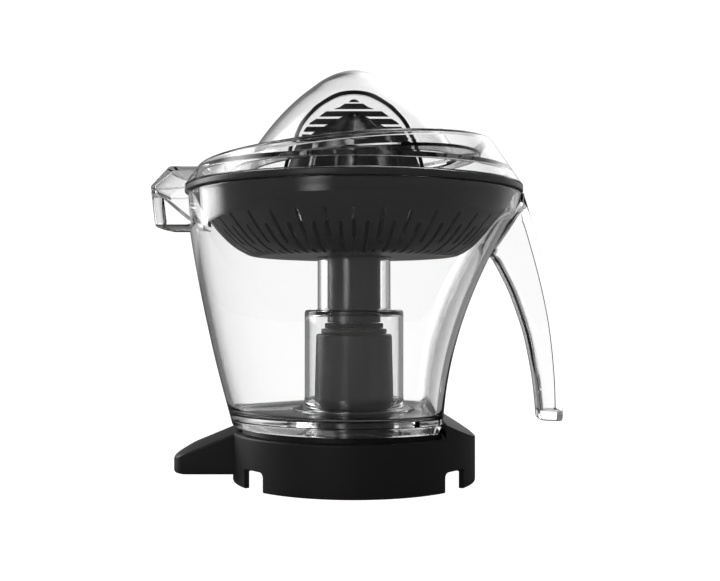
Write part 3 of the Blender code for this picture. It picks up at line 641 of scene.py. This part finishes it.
# Radius that the skirt loses per millimetre of height.
SKIRT_LOSS = 0.679
RIDGE_Z, RIDGE_TILT = 145.9, 0.0916
MOAT_Z, MOAT_TILT = 141.5, 0.072
LEDGE_LOW, LEDGE_HIGH = 134.8, 137.3
MOAT_OUT_R, MOAT_IN_R = 55.5, 47.0
SHELF_R = 57.6
RIDGE_ROUND, SHELF_ROUND, MOAT_ROUND, LEAST_ROUND = 2.2, 1.2, 0.6, 0.3
DOME = ((45.8, 145.6), (44.2, 148.5), (41.5, 152.5), (37.9, 157.2), (34.3, 161.5), (29.9, 166.2),
        (25.0, 170.8), (19.9, 174.9), (15.4, 178.3), (10.9, 180.9), (6.3, 182.7), (3.0, 183.5))
LID_TOP = 183.7


def skirt_radius(z):
    return RIM_R - SKIRT_LOSS * (z - LID_LOW)


def lid_profile(turn, wall):
    """Profile of the lid in one direction, the wall's depth inside the outer face.

    The skirt leans in to the ridge, a shelf and a moat follow, and then the dome. The moat's corners
    are sharp outside and rounded inside, which a negative radius stands for.
    """
    lean = RIDGE_TILT * math.cos(turn)
    fall = MOAT_TILT * math.cos(turn)
    ridge_r = skirt_radius(RIDGE_Z) / (1 + SKIRT_LOSS * lean)
    corners = [(skirt_radius(LID_LOW), LID_LOW, 0), (ridge_r, RIDGE_Z + lean * ridge_r, RIDGE_ROUND),
               (SHELF_R, RIDGE_Z - 0.8 + lean * SHELF_R, SHELF_ROUND)]
    corners += [(r, MOAT_Z + fall * r, -MOAT_ROUND) for r in (MOAT_OUT_R, MOAT_IN_R)]
    corners += [(r, z, 0) for r, z in smooth_path(DOME, 4)]
    if not wall:
        return fillet(corners, closed=False)
    rounded = []
    for (r, z), (_, _, radius) in zip(offset_path([c[:2] for c in corners], wall), corners):
        inside = max(radius - wall, LEAST_ROUND) if radius > 0 else -radius
        rounded.append((r, z, inside))
    # A small ledge on the inside of the skirt steadies the basket's rim.
    slant = wall * math.hypot(1, SKIRT_LOSS)
    ledge_r = skirt_radius(LEDGE_HIGH) - slant
    rounded[0] = (skirt_radius(LID_LOW) - slant, LID_LOW, 0)
    ledge = [(skirt_radius(LEDGE_LOW) - slant, LEDGE_LOW, 0.25), (ledge_r, LEDGE_LOW, 0.25),
             (ledge_r, LEDGE_HIGH, 0.25)]
    return fillet(rounded[:1] + ledge + rounded[1:], closed=False)


def lid_shell(count=240):
    """Outer and inner skins of the lid, joined round the foot; the ridge and the moat are tilted."""
    skin = Skin()
    turns = [math.tau * k / count for k in range(count)]
    shells = []
    for wall in (0, LID_WALL):
        rings = []
        for row in zip(*(lid_profile(turn, wall) for turn in turns)):
            rings.append(skin.ring3([(r * math.cos(turn), r * math.sin(turn), z if rings else LID_LOW)
                                     for turn, (r, z) in zip(turns, row)]))
        skin.chain(rings)
        shells.append(rings)
    skin.bridge(shells[0][0], shells[1][0])
    skin.apex(shells[0][-1], LID_TOP)
    skin.apex(shells[1][-1], LID_TOP - LID_WALL)
    return make_object("lid_clear", skin, CLEAR, 50)


COVER_LOW, COVER_TOP, COVER_TOP_R = 128.5, 137.9, 82.4


def make_lid():
    """Lid and its spout cover in one moulding."""
    lid = lid_shell()
    outer = [(SPOUT_R_TOP - 0.3, COVER_LOW, 0.2), (SPOUT_R_TOP, COVER_LOW + 0.4, 0),
             (SPOUT_R_TOP, COVER_LOW + 1.0, 0), (COVER_TOP_R + 0.5, COVER_TOP - 0.5, 0.1),
             (COVER_TOP_R - 0.4, COVER_TOP, 0.5)]
    cover = spout_solid("cover", 0.0, outer)
    inner = [(SPOUT_R_TOP, COVER_LOW - 3, 0), (SPOUT_R_TOP, COVER_LOW + 1.0, 0),
             (COVER_TOP_R, COVER_TOP - LID_WALL, 0)]
    cut(cover, spout_solid("cavity", LID_WALL, inner, corner=2.6))
    keeper = [(RIM_R + RIM_GAP, 120), (RIM_R + RIM_GAP, LID_LOW),
              (skirt_radius(LID_LOW) - 1.1, LID_LOW + 0.02), (skirt_radius(142) - 1.1, 142)]
    cut(cover, turned("keeper", keeper, None, 240, closed=False))
    join(lid, cover)
    clean(lid, 40)
    finish_piece(lid, "lid", "lid")


# ---- basket

RIM_LOW, RIM_TOP = 127.7, 130.2
SLITS = 72
SLIT_HALF = 0.85
# Columns of the grid for each slit; the first four are across the slit.
SLIT_COLUMNS = 8
SLIT_END = 0.75
BASKET_OUTER = ((71.6, 127.7), (70.6, 125.0), (68.9, 121.4), (66.4, 117.2), (63.4, 113.4), (60.3, 109.8),
                (56.9, 106.4), (53.6, 103.7), (50.4, 101.8), (47.5, 100.4), (44.8, 99.8), (42.0, 99.6))
BASKET_WALL = 2.0
HUB_BORE_R, HUB_TOP = 17.3, 119
# Radii between which the slits are open; every second slit sits lower.
UPPER_SLITS = ((65.6, 53.4), (48.6, 43.2))
LOWER_SLITS = ((61.5, 43.2),)


def basket_rows():
    """Flank from the rim down, outside and inside, with close rows round the ends of the slits."""
    outer = smooth_path(BASKET_OUTER, 5)[::-1]
    radii = set(span(outer[0][0], outer[-1][0], 34))
    for ends in UPPER_SLITS + LOWER_SLITS:
        for end, inward in zip(ends, (-1, 1)):
            radii = {r for r in radii if abs(r - end) > SLIT_END}
            radii |= {end + inward * step for step in (0.0, 0.12, 0.35, SLIT_END)}
    rows = [(r, read_curve(outer, r)) for r in sorted(radii, reverse=True)]
    return rows, offset_path(rows, -BASKET_WALL)


def make_basket():
    """Turned bowl whose flank is an even grid, so each slit is a run of missing cells."""
    outer, inner = basket_rows()
    count = SLITS * SLIT_COLUMNS
    pitch = math.tau / SLITS

    def ranges(slit):
        return UPPER_SLITS if slit % 2 == 0 else LOWER_SLITS

    def turns_at(radius):
        angles = []
        for slit in range(SLITS):
            inside = max(min(top - radius, radius - low) for top, low in ranges(slit))
            open_part = min(max(inside / SLIT_END, 0.0), 1.0)
            half = SLIT_HALF * max(math.sqrt(1 - (1 - open_part) ** 2), 0.3) / radius
            angles += [pitch * slit + part * half for part in (-1.0, -0.5, 0.0, 0.5, 1.0)]
            angles += [pitch * slit + half + (pitch - 2 * half) * part for part in (0.2, 0.5, 0.8)]
        return angles

    def is_open(row, column):
        slit, part = divmod(column % count, SLIT_COLUMNS)
        if part > 3 or not 0 <= row < len(outer) - 1:
            return False
        middle = (outer[row][0] + outer[row + 1][0]) / 2
        return any(low < middle < top for top, low in ranges(slit))

    skin = Skin()
    grids = []
    for profile in (outer, inner):
        grids.append([skin.ring([(r * math.cos(t), r * math.sin(t)) for t in turns_at(outer_r)], z)
                      for (r, z), (outer_r, _) in zip(profile, outer)])
    for row in range(len(outer) - 1):
        gaps = {c for c in range(count) if is_open(row, c)}
        for grid in grids:
            skin.bridge(grid[row], grid[row + 1], gaps)
        for c in gaps:
            after = (c + 1) % count
            for row_a, c_a, row_b, c_b, next_row, next_c in (
                    (row, c, row + 1, c, row, c - 1), (row, after, row + 1, after, row, c + 1),
                    (row, c, row, after, row - 1, c), (row + 1, c, row + 1, after, row + 1, c)):
                if not is_open(next_row, next_c):
                    skin.faces.append((grids[0][row_a][c_a], grids[0][row_b][c_b],
                                       grids[1][row_b][c_b], grids[1][row_a][c_a]))
    rim = fillet([(71.9, RIM_LOW, 0), (RIM_R, RIM_LOW, 0.5), (RIM_R, RIM_TOP, 0.6),
                  (RIM_R - 2.6, RIM_TOP, 0.6), (inner[0][0] + 0.4, RIM_TOP - 1.2, 0)], 4, closed=False)
    skin.chain([grids[0][0]] + skin.round_rings(rim[1:], SLITS * 4) + [grids[1][0]])
    floor_low, floor_high = outer[-1][1], inner[-1][1]
    hub = fillet([(30, floor_low, 0), (HUB_BORE_R, floor_low, 0.8), (HUB_BORE_R, HUB_TOP, 0.7),
                  (HUB_BORE_R + 2.0, HUB_TOP, 0.7), (HUB_BORE_R + 2.3, floor_high, 1.5), (30, floor_high, 0)],
                 closed=False)
    skin.chain([grids[0][-1]] + skin.round_rings(hub, 96) + [grids[1][-1]])
    basket = make_object("basket_strainer", skin, DARK, 38)
    finish_piece(basket, "basket", "strainer_basket")


# ---- cone and press

CONE_OUTLINE = ((40.0, 113.0), (38.6, 119.5), (36.8, 126.0), (34.8, 132.5), (32.4, 139.0), (29.6, 146.0),
                (26.0, 150.2), (22.0, 153.2), (16.7, 156.4), (11.0, 159.7), (6.6, 161.9), (3.2, 163.6),
                (1.2, 164.6))
CONE_TOP = 165.0
CONE_INSIDE = ((37.6, 113.0, 0.4), (34.0, 123.0, 4), (28.5, 131.0, 3), (9.6, 132.0, 1.5), (9.6, 113.4, 0.4),
               (6.8, 113.4, 0))
SOCKET = ((6.6, 113.6), (6.4, 113.9), (6.4, 136.4))
RIBS = 12
RIB_DEPTH, RIB_SHAPE = 0.16, 0.8
SLOT_HALF, SLOT_LOW = 2, 138.0


def make_cone():
    """Reamer with rounded ribs that fade into the crown, a hollow skirt and a hexagonal socket."""
    skin = Skin()
    count = RIBS * 24
    outer = smooth_path(CONE_OUTLINE, 4)
    rings = [skin.ring(circle(count, outer[0][0] - 0.5), outer[0][1])]
    for k, (radius, z) in enumerate(outer):
        depth = RIB_DEPTH * min(1.0, k / 6) * min(1.0, max(radius - 1.0, 0) / 4)
        ring = []
        for i in range(count):
            turn = math.tau * i / count
            wave = abs(math.sin(RIBS * turn / 2))
            reach = radius * (1 - depth * wave ** RIB_SHAPE)
            ring.append((reach * math.cos(turn), reach * math.sin(turn)))
        rings.append(skin.ring(ring, z + 0.35 * (k == 0)))
    skin.chain(rings)
    skin.apex(rings[-1], CONE_TOP)
    cavity_rings = skin.round_rings(fillet(CONE_INSIDE, 4, closed=False), 96)
    socket = skin.round_rings(SOCKET, 6)
    skin.chain([rings[0]] + cavity_rings + socket)
    skin.cap(socket[-1])
    cone = make_object("cone_reamer", skin, GLOSS, 40)
    cut(cone, box("slot", (-50, -SLOT_HALF, SLOT_LOW), (50, SLOT_HALF, 170)))
    clean(cone, 38)
    finish_piece(cone, "cone", "press_cone")


ARCH = ((31.9, 138.9), (29.4, 148.6), (26.9, 155.0), (24.4, 160.0), (19.9, 165.5), (15.4, 169.3),
        (8.0, 173.3), (0.0, 174.6))
ARCH_BAND, ARCH_HALF, ARCH_FOOT = 1.5, 1.5, 138.75
WINDOW_NEAR, WINDOW_FAR = 0.4, 1.4
LOUVRE = ((28.6, 139.0), (26.4, 148.0), (24.6, 152.8), (22.6, 156.8), (19.9, 160.0), (17.0, 161.8),
          (12.6, 165.2))
LOUVRE_GAPS = ((161.7, 162.8), (158.4, 159.5), (155.2, 156.3))
LOUVRE_NEAR, LOUVRE_FAR, MIDDLE_HALF = -1.2, 0.1, 3.0
VANE_UPPER = ((8.8, 166.3), (6.3, 167.1), (4.1, 168.5))
VANE_TIP = ((2.2, 169.3), (1.7, 169.95), (0.9, 170.4), (0.0, 170.5))


def mirrored(half_path):
    """Right half from foot to crown, then the left half back down, as one smooth run."""
    tail = half_path[:-1] if half_path[-1][0] < 0.01 else half_path
    return list(half_path) + [(-x, z) for x, z in reversed(tail)]


def arch_inside(arch, depth):
    """The arch's outline moved in by the depth and cut off level at the foot."""
    return [(x, max(z, ARCH_FOOT)) for x, z in offset_path(arch, depth)]


def make_press():
    """Thin arch with a clear pane, a slotted panel and two small vanes above the panel."""
    arch = smooth_path(mirrored(ARCH), 6)
    # The arch's black carries painted shade, darker than the base's black plastic.
    hoop = plate("arch_hoop", arch + arch_inside(arch, ARCH_BAND)[::-1], -ARCH_HALF, ARCH_HALF, PAINTED_SHADE_BLACK, 0.4)
    finish_piece(hoop, "press", "press_arch")
    window = plate("window_pane", arch_inside(arch, ARCH_BAND + 0.3), WINDOW_NEAR, WINDOW_FAR, CLEAR, 0.15)
    finish_piece(window, "press", "press_window")
    panel = plate("louvre_panel", mirrored(smooth_path(LOUVRE, 4)), LOUVRE_NEAR, LOUVRE_FAR, DARK, 0.2)
    for index, (low, high) in enumerate(LOUVRE_GAPS):
        for side in (-1, 1):
            near, far = sorted((side * MIDDLE_HALF, side * 40))
            cut(panel, box(f"gap_{index}", (near, -5, low), (far, 5, high)))
    clean(panel, 38)
    finish_piece(panel, "press", "press_louvre")
    for name, node, outline in (("vane_upper", "press_vane_upper", VANE_UPPER),
                                ("vane_tip", "press_vane_tip", VANE_TIP)):
        vane = plate(name, mirrored(outline), LOUVRE_NEAR, LOUVRE_FAR, DARK, 0.15)
        finish_piece(vane, "press", node)


# ---- drive tower

TOWER_LOW, TOWER_TOP, TOWER_BORE_R = 24.7, 65.2, 9.0
TOWER_OUTER = ((18.0, TOWER_LOW, 0.4), (17.9, 34.0, 0), (17.1, TOWER_TOP, 1.2))
TOWER_INNER = ((TOWER_BORE_R, TOWER_TOP, 0.4), (TOWER_BORE_R, TOWER_TOP - 7, 0.2), (14, TOWER_TOP - 7, 1),
               (15.4, TOWER_TOP - 9, 1), (15.4, TOWER_LOW, 0.3))
RING_BORE_R = 6.3


def make_tower():
    """Hollow tower of the base, with a collar, a seal and the spindle's sleeve above it."""
    tower = turned("tower_housing", fillet(TOWER_OUTER + TOWER_INNER), HUB)
    finish_piece(tower, "base", "drive_tower")
    rings = (("tower_collar", "thrust_washer", "base", HUB, "hub_plastic", (14.8, 65.5, 67.5), 0.5),
             ("tower_seal", "shaft_seal", "base", RUBBER, "rubber", (13.2, 67.8, 70.0), 0.5),
             ("spindle_sleeve", "drive_sleeve", "spindle", HUB, "hub_plastic", (12.0, 70.3, 112.6), 0.6))
    for name, node, body, material, slot, (radius, low, high), edge in rings:
        profile = ((RING_BORE_R, low, 0.2), (radius, low, edge), (radius, high, edge),
                   (RING_BORE_R, high, 0.2))
        finish_piece(turned(name, fillet(profile, 4), material), body, node)


# ---- base

BASE_R = 54.4
DRUM_TOP, DECK_R, DECK_TOP = 22.0, 50.4, 24.4
DECK_FLAT_X = 36.6
DRUM_SIDES = 192
HOLLOW = ((0.5, -1, 0), (51.9, -1, 0), (51.9, 16.8, 1), (48, 17.8, 1), (48, 21.8, 1), (0.5, 21.8, 0))
# The shoulder starts at a flat face and slopes down to the drum's edge.
SHOULDER_X, SHOULDER_Z, SHOULDER_SLOPE = 38.4, 28.2, 0.54
NOTCH_TOP = 8.5
NOTCH_FROM, NOTCH_TO = 44.0, 59.0
NOTCH_MIDDLE = (NOTCH_FROM + NOTCH_TO) / 2
NOTCH_ROUND = 2.6
POST_RING_R, POST_R, POST_HOLE_R = 46.0, 3.2, 1.7
SPINDLE_HOLE_R = 9.0
TAIL_HALF, TAIL_TIP_X = 13.5, -81.0
TAIL_TIP_TOP, TAIL_SLOPE, TAIL_CROWN = 9.8, 0.414, 2.7
TAIL_NOSE, TAIL_ROOT_X, TAIL_MIDDLE_X = 6.5, -44, -60.0


def tail_top(x, y, inset):
    """Height of the tail's crowned, sloping top."""
    slope = TAIL_TIP_TOP + TAIL_SLOPE * (x - TAIL_TIP_X) - inset
    near_tip = min(1.0, max(0.0, (x - TAIL_TIP_X - inset) / 9))
    return slope + TAIL_CROWN * (1 - (y / (TAIL_HALF - inset)) ** 2) * near_tip ** 0.5


def tail_body(name, inset, low, edge):
    """Tail with straight sides, elliptical nose, rounded edges and a crowned, sloping top."""
    half, nose, tip = TAIL_HALF - inset, TAIL_NOSE - inset * 0.4, TAIL_TIP_X + inset
    plan = [(x, half) for x in span(TAIL_ROOT_X, tip + nose + 1, 16)]
    plan += [(tip + nose - nose * math.sin(a), half * math.cos(a)) for a in span(0, math.pi, 25)]
    plan += [(x, -half) for x in span(tip + nose + 1, TAIL_ROOT_X, 16)]

    def shrink(amount):
        """The plan pulled in by the amount, except at the end inside the drum."""
        k, nose_k = 1 - amount / half, 1 - amount / (TAIL_MIDDLE_X - TAIL_TIP_X)
        return [(TAIL_MIDDLE_X + (x - TAIL_MIDDLE_X) * nose_k if x < -52 else x, y * k) for x, y in plan]

    skin = Skin()
    rings = [skin.ring(shrink(edge), low), skin.ring(shrink(edge * 0.3), low + edge * 0.3),
             skin.ring(plan, low + edge)]
    for pull, drop in ((0.0, edge), (edge * 0.3, edge * 0.3), (edge, 0.0)):
        rings.append(skin.ring3([(x, y, tail_top(x, y, inset) - drop) for x, y in shrink(pull)]))
    skin.chain(rings)
    skin.cap(rings[0])
    # The top is a grid between the two sides, so that its crown is smooth.
    top = rings[-1]
    rows = []
    for k in range(len(top) // 2 + 1):
        left, right = top[k], top[-1 - k]
        if left == right:
            rows.append([left])
            continue
        (x, y_left, _), (_, y_right, _) = skin.points[left], skin.points[right]
        between = [(x, y, tail_top(x, y, inset)) for y in span(y_left, y_right, 9)[1:-1]]
        rows.append([left] + skin.ring3(between) + [right])
    for a, b in zip(rows, rows[1:]):
        if len(b) == 1:
            skin.faces += [(a[i], a[i + 1], b[0]) for i in range(len(a) - 1)]
        else:
            skin.faces += [(a[i], a[i + 1], b[i + 1], b[i]) for i in range(len(a) - 1)]
    skin.cap(rows[0])
    return make_object(name, skin, sharp=40)


def radial_prism(name, outline, near, far, degrees):
    """Outline across a radius, in tangent and height, drawn out along that radius."""
    out_x, out_y = polar(1.0, degrees)
    skin = Skin()
    skin.solid([skin.ring3([(r * out_x - u * out_y, r * out_y + u * out_x, z) for u, z in outline])
                for r in (near, far)])
    return make_object(name, skin)


def notch_cutter(name, middle, mirror):
    """Notch through the skirt; its corner nearest the middle of the front is well rounded."""
    half = BASE_R * math.sin(math.radians((NOTCH_TO - NOTCH_FROM) / 2))
    corners = [(-half, -1, 0), (half, -1, 0), (half, NOTCH_TOP, 0.6), (-half, NOTCH_TOP, NOTCH_ROUND)]
    shape = fillet(corners, 6)
    return radial_prism(name, [(u * mirror, z) for u, z in shape], BASE_R - 6.3, BASE_R + 3.1, middle)


def base_drum():
    """Round drum with a slightly smaller deck on top, cut flat on the shoulder's side."""
    outline = fillet([(0.5, 0, 0), (BASE_R, 0, 0.8), (BASE_R, DRUM_TOP, 1.0), (DECK_R + 0.4, DRUM_TOP, 0.5),
                      (DECK_R, DECK_TOP, 0.6), (0.5, DECK_TOP, 0)], closed=False)
    skin = Skin()
    rings = []
    for radius, z in outline:
        points = circle(DRUM_SIDES, radius)
        inset = BASE_R - radius
        if z > DRUM_TOP + 0.05 and inset > 3:
            points = [(min(x, DECK_FLAT_X - min(inset - 3.9, 0.6)), y) for x, y in points]
        rings.append(skin.ring(points, z))
    skin.solid(rings)
    return make_object("base_drum", skin, BLACK, 40)


def base_shoulder():
    """Raised side of the drum under the jug's handle."""
    shoulder = rod("shoulder", BASE_R - 0.03, 14.7, 40, DRUM_SIDES, start=0.01)
    cut(shoulder, box("shoulder_side", (-70, -70, 10), (SHOULDER_X, 70, 50)))
    top = [(30, SHOULDER_Z + SHOULDER_SLOPE * 8.4), (SHOULDER_X, SHOULDER_Z), (53.2, 20.2, 1.5), (70, 9.0),
           (70, 60), (30, 60)]
    cut(shoulder, plate("shoulder_top", fillet(top), -70, 70))
    return shoulder


def make_base():
    """Drum, shoulder and tail in one piece, hollow below, with notches and screw posts."""
    drum = base_drum()
    shoulder = base_shoulder()
    cut(drum, box("drum_side", (39.6, -70, 19.0), (70, 70, 50)))
    join(drum, shoulder)
    tail = tail_body("tail", 0.0, 3.4, 1.0)
    cut(tail, box("tail_end", (-52, -20, DECK_TOP - 0.4), (-30, 20, 60)))
    join(drum, tail)
    inside = fillet(HOLLOW, 4, closed=False)
    cut(drum, turned("cavity", inside, None, DRUM_SIDES, closed=False, start=0.007))
    hollow = tail_body("tail_hollow", 2.4, -1, 0.4)
    cut(hollow, rod("tail_wall", BASE_R + 0.5, -5, 50, DRUM_SIDES))
    cut(drum, hollow)
    notches = [(face + side * NOTCH_MIDDLE, side) for face in (270, 90) for side in (-1, 1)]
    for index, (angle, mirror) in enumerate(notches):
        cut(drum, notch_cutter(f"notch_{index}", angle, mirror))
    for index, angle in enumerate((0, 90, 180, 270)):
        at = polar(POST_RING_R, angle)
        join(drum, rod(f"post_{index}", POST_R, 11.0, 22.5, 32, at, 0.1))
        cut(drum, rod(f"post_hole_{index}", POST_HOLE_R, 10, 17.6, 24, at, 0.1))
    cut(drum, rod("spindle_hole", SPINDLE_HOLE_R, 15, 30, 64))
    clean(drum, 38)
    finish_piece(drum, "base", "base_housing")


# ---- carried-over CAD pieces

def paint_frame():
    """Each CAD node that is not replaced gets the finished material of its slot."""
    finishes = {"black_plastic": BLACK, "dark_plastic": DARK, "hub_plastic": HUB, "clear_plastic": CLEAR,
                "gear_plastic": GEAR, "steel": STEEL, "bronze": BRONZE, "rubber": RUBBER}
    slots = {part["node"]: part["material_slot"] for part in frame["record"]["subparts"]}
    for name, obj in frame["nodes"].items():
        for place in obj.material_slots:
            place.material = finishes[slots[name]]


# ---- studio

# Azimuths, elevations, softness of the edge, all in degrees, and brightness of each lamp.
# Azimuth is 0 behind the object, 90 on its right and 180 in front.
LAMPS = (((-78, -51), (-3, 50), 8, 4.5),
         ((-160, -148), (-2, 50), 8, 3.0),
         ((3, 40), (14, 60), 12, 1.5))
# The same for the brighter part of the backdrop, behind and right of the dome.
GLOW = ((5, 45), (9, 40), 3, 0.12)
# Grey of the studio once round: share of the turn from the front by the left, and level.
AROUND = ((0.0, 0.05), (0.20, 0.10), (0.33, 0.50), (0.41, 0.45), (0.46, 0.18), (0.53, 0.18), (0.60, 0.45),
          (0.72, 0.15), (1.0, 0.05))
# Elevations between which the studio darkens upwards, and the share that is left of it.
CEILING, CEILING_SHARE = (20, 60), 0.15
# White of the backdrop and of the floor, as they are seen.
BACKDROP_WHITE, FLOOR_WHITE = 1.115, 1.08
FLOOR_GREY = 0.12
FLOOR_REACH, FLOOR_Z = 4.0, -0.0002
# Least brightness that is mirrored inside a clear piece.
CLEAR_SHADE = 0.2


def math_node(tree, operation, *values):
    """A Math node; a value is a number or another node's output."""
    step = tree.nodes.new("ShaderNodeMath")
    step.operation = operation
    for socket, value in zip(step.inputs, values):
        if isinstance(value, (int, float)):
            socket.default_value = value
        else:
            tree.links.new(value, socket)
    return step.outputs[0]


def seen_directly(tree):
    """1 for what is seen straight or through clear pieces, 0 for what lights or is mirrored."""
    path = tree.nodes.new("ShaderNodeLightPath")
    bounces = math_node(tree, "ADD", path.outputs["Glossy Depth"], path.outputs["Diffuse Depth"])
    return math_node(tree, "LESS_THAN", bounces, 0.5)


def through_clear(tree):
    """1 for rays that have passed into a clear piece."""
    path = tree.nodes.new("ShaderNodeLightPath")
    return math_node(tree, "GREATER_THAN", path.outputs["Transmission Depth"], 0.5)


def stops(tree, value, places):
    """Piecewise smooth curve of a value, as grey stops at places from 0 to 1."""
    ramp = tree.nodes.new("ShaderNodeValToRGB")
    ramp.color_ramp.interpolation = "EASE"
    elements = ramp.color_ramp.elements
    while len(elements) < len(places):
        elements.new(0.5)
    for element, (place, level) in zip(elements, places):
        element.position = place
        element.color = (level, level, level, 1)
    tree.links.new(value, ramp.inputs["Fac"])
    return ramp.outputs["Color"]


def lamp(tree, azimuth, elevation, sides, heights, soft, level):
    """Soft-edged bright patch of the studio between two azimuths and two elevations, in degrees."""
    factors = []
    for angle, (low, high) in ((azimuth, sides), (elevation, heights)):
        middle, half = (low + high) / 2, (high - low) / 2
        away = math_node(tree, "ABSOLUTE", math_node(tree, "SUBTRACT", angle, middle))
        factors.append(map_range(tree, away, (half + soft, half - soft), (0, 1), "SMOOTHSTEP"))
    return math_node(tree, "MULTIPLY", math_node(tree, "MULTIPLY", *factors), level)


def world():
    """Plain white backdrop, and a grey studio with soft lamps that only lights and reflects."""
    sky = bpy.data.worlds.new("studio")
    sky.use_nodes = True
    tree = sky.node_tree
    background = tree.nodes["Background"]
    coords = tree.nodes.new("ShaderNodeTexCoord")
    split = tree.nodes.new("ShaderNodeSeparateXYZ")
    tree.links.new(coords.outputs["Generated"], split.inputs["Vector"])
    turn = math_node(tree, "ARCTAN2", split.outputs["X"], split.outputs["Y"])
    azimuth = math_node(tree, "MULTIPLY", turn, math.degrees(1))
    elevation = math_node(tree, "MULTIPLY", math_node(tree, "ARCSINE", split.outputs["Z"]), math.degrees(1))
    share = math_node(tree, "MULTIPLY_ADD", turn, 1 / math.tau, 0.5)
    around = stops(tree, share, AROUND)
    total = math_node(tree, "MAXIMUM", around, math_node(tree, "MULTIPLY", through_clear(tree), CLEAR_SHADE))
    ceiling = map_range(tree, elevation, CEILING, (1.0, CEILING_SHARE), "SMOOTHSTEP")
    total = math_node(tree, "MULTIPLY", total, ceiling)
    for patch in LAMPS:
        total = math_node(tree, "ADD", total, lamp(tree, azimuth, elevation, *patch))
    mix = tree.nodes.new("ShaderNodeMix")
    backdrop = math_node(tree, "ADD", lamp(tree, azimuth, elevation, *GLOW), BACKDROP_WHITE)
    tree.links.new(backdrop, mix.inputs["B"])
    tree.links.new(seen_directly(tree), mix.inputs["Factor"])
    tree.links.new(total, mix.inputs["A"])
    tree.links.new(mix.outputs["Result"], background.inputs["Strength"])
    settings(background, Color=(1, 1, 1, 1))
    bpy.context.scene.world = sky


def floor_material():
    """Dark floor that glows to the backdrop's white where it is seen, with a faint contact shadow."""
    made, tree, shader, _ = start_material("floor", (FLOOR_GREY, FLOOR_GREY, FLOOR_GREY), 1.0)
    settings(shader, Specular_IOR_Level=0.0, Emission_Color=(1, 1, 1, 1))
    glow = math_node(tree, "MAXIMUM", math_node(tree, "MULTIPLY", seen_directly(tree), FLOOR_WHITE),
                     math_node(tree, "MULTIPLY", through_clear(tree), CLEAR_SHADE))
    tree.links.new(glow, shader.inputs["Emission Strength"])
    return made


def studio():
    """Wide flat floor just under the object."""
    mesh = bpy.data.meshes.new("floor")
    corners = [(FLOOR_REACH * x, FLOOR_REACH * y, 0) for x, y in ((-1, -1), (1, -1), (1, 1), (-1, 1))]
    mesh.from_pydata(corners, [], [(0, 1, 2, 3)])
    floor = bpy.data.objects.new("floor", mesh)
    floor.location.z = FLOOR_Z
    bpy.context.scene.collection.objects.link(floor)
    mesh.materials.append(floor_material())


EYE_DISTANCE, EYE_HEIGHT = 0.457, 0.078
LENS, SENSOR = 50.5, 36
SHIFT_X, SHIFT_Y = 0.0083, 0.0201


def camera():
    """Level camera in front of the drive axis."""
    lens = bpy.data.cameras.new("camera")
    lens.lens = LENS
    lens.sensor_width = SENSOR
    lens.shift_x = SHIFT_X
    lens.shift_y = SHIFT_Y
    lens.clip_start = 0.01
    eye = bpy.data.objects.new("camera", lens)
    eye.location = (AXIS[0], -EYE_DISTANCE, EYE_HEIGHT)
    eye.rotation_euler = (math.radians(90), 0, 0)
    bpy.context.scene.collection.objects.link(eye)
    bpy.context.scene.camera = eye


bpy.context.scene.view_settings.view_transform = "Standard"
camera()
paint_frame()
make_jug()
make_lid()
make_basket()
make_cone()
make_press()
make_tower()
make_base()
world()
studio()
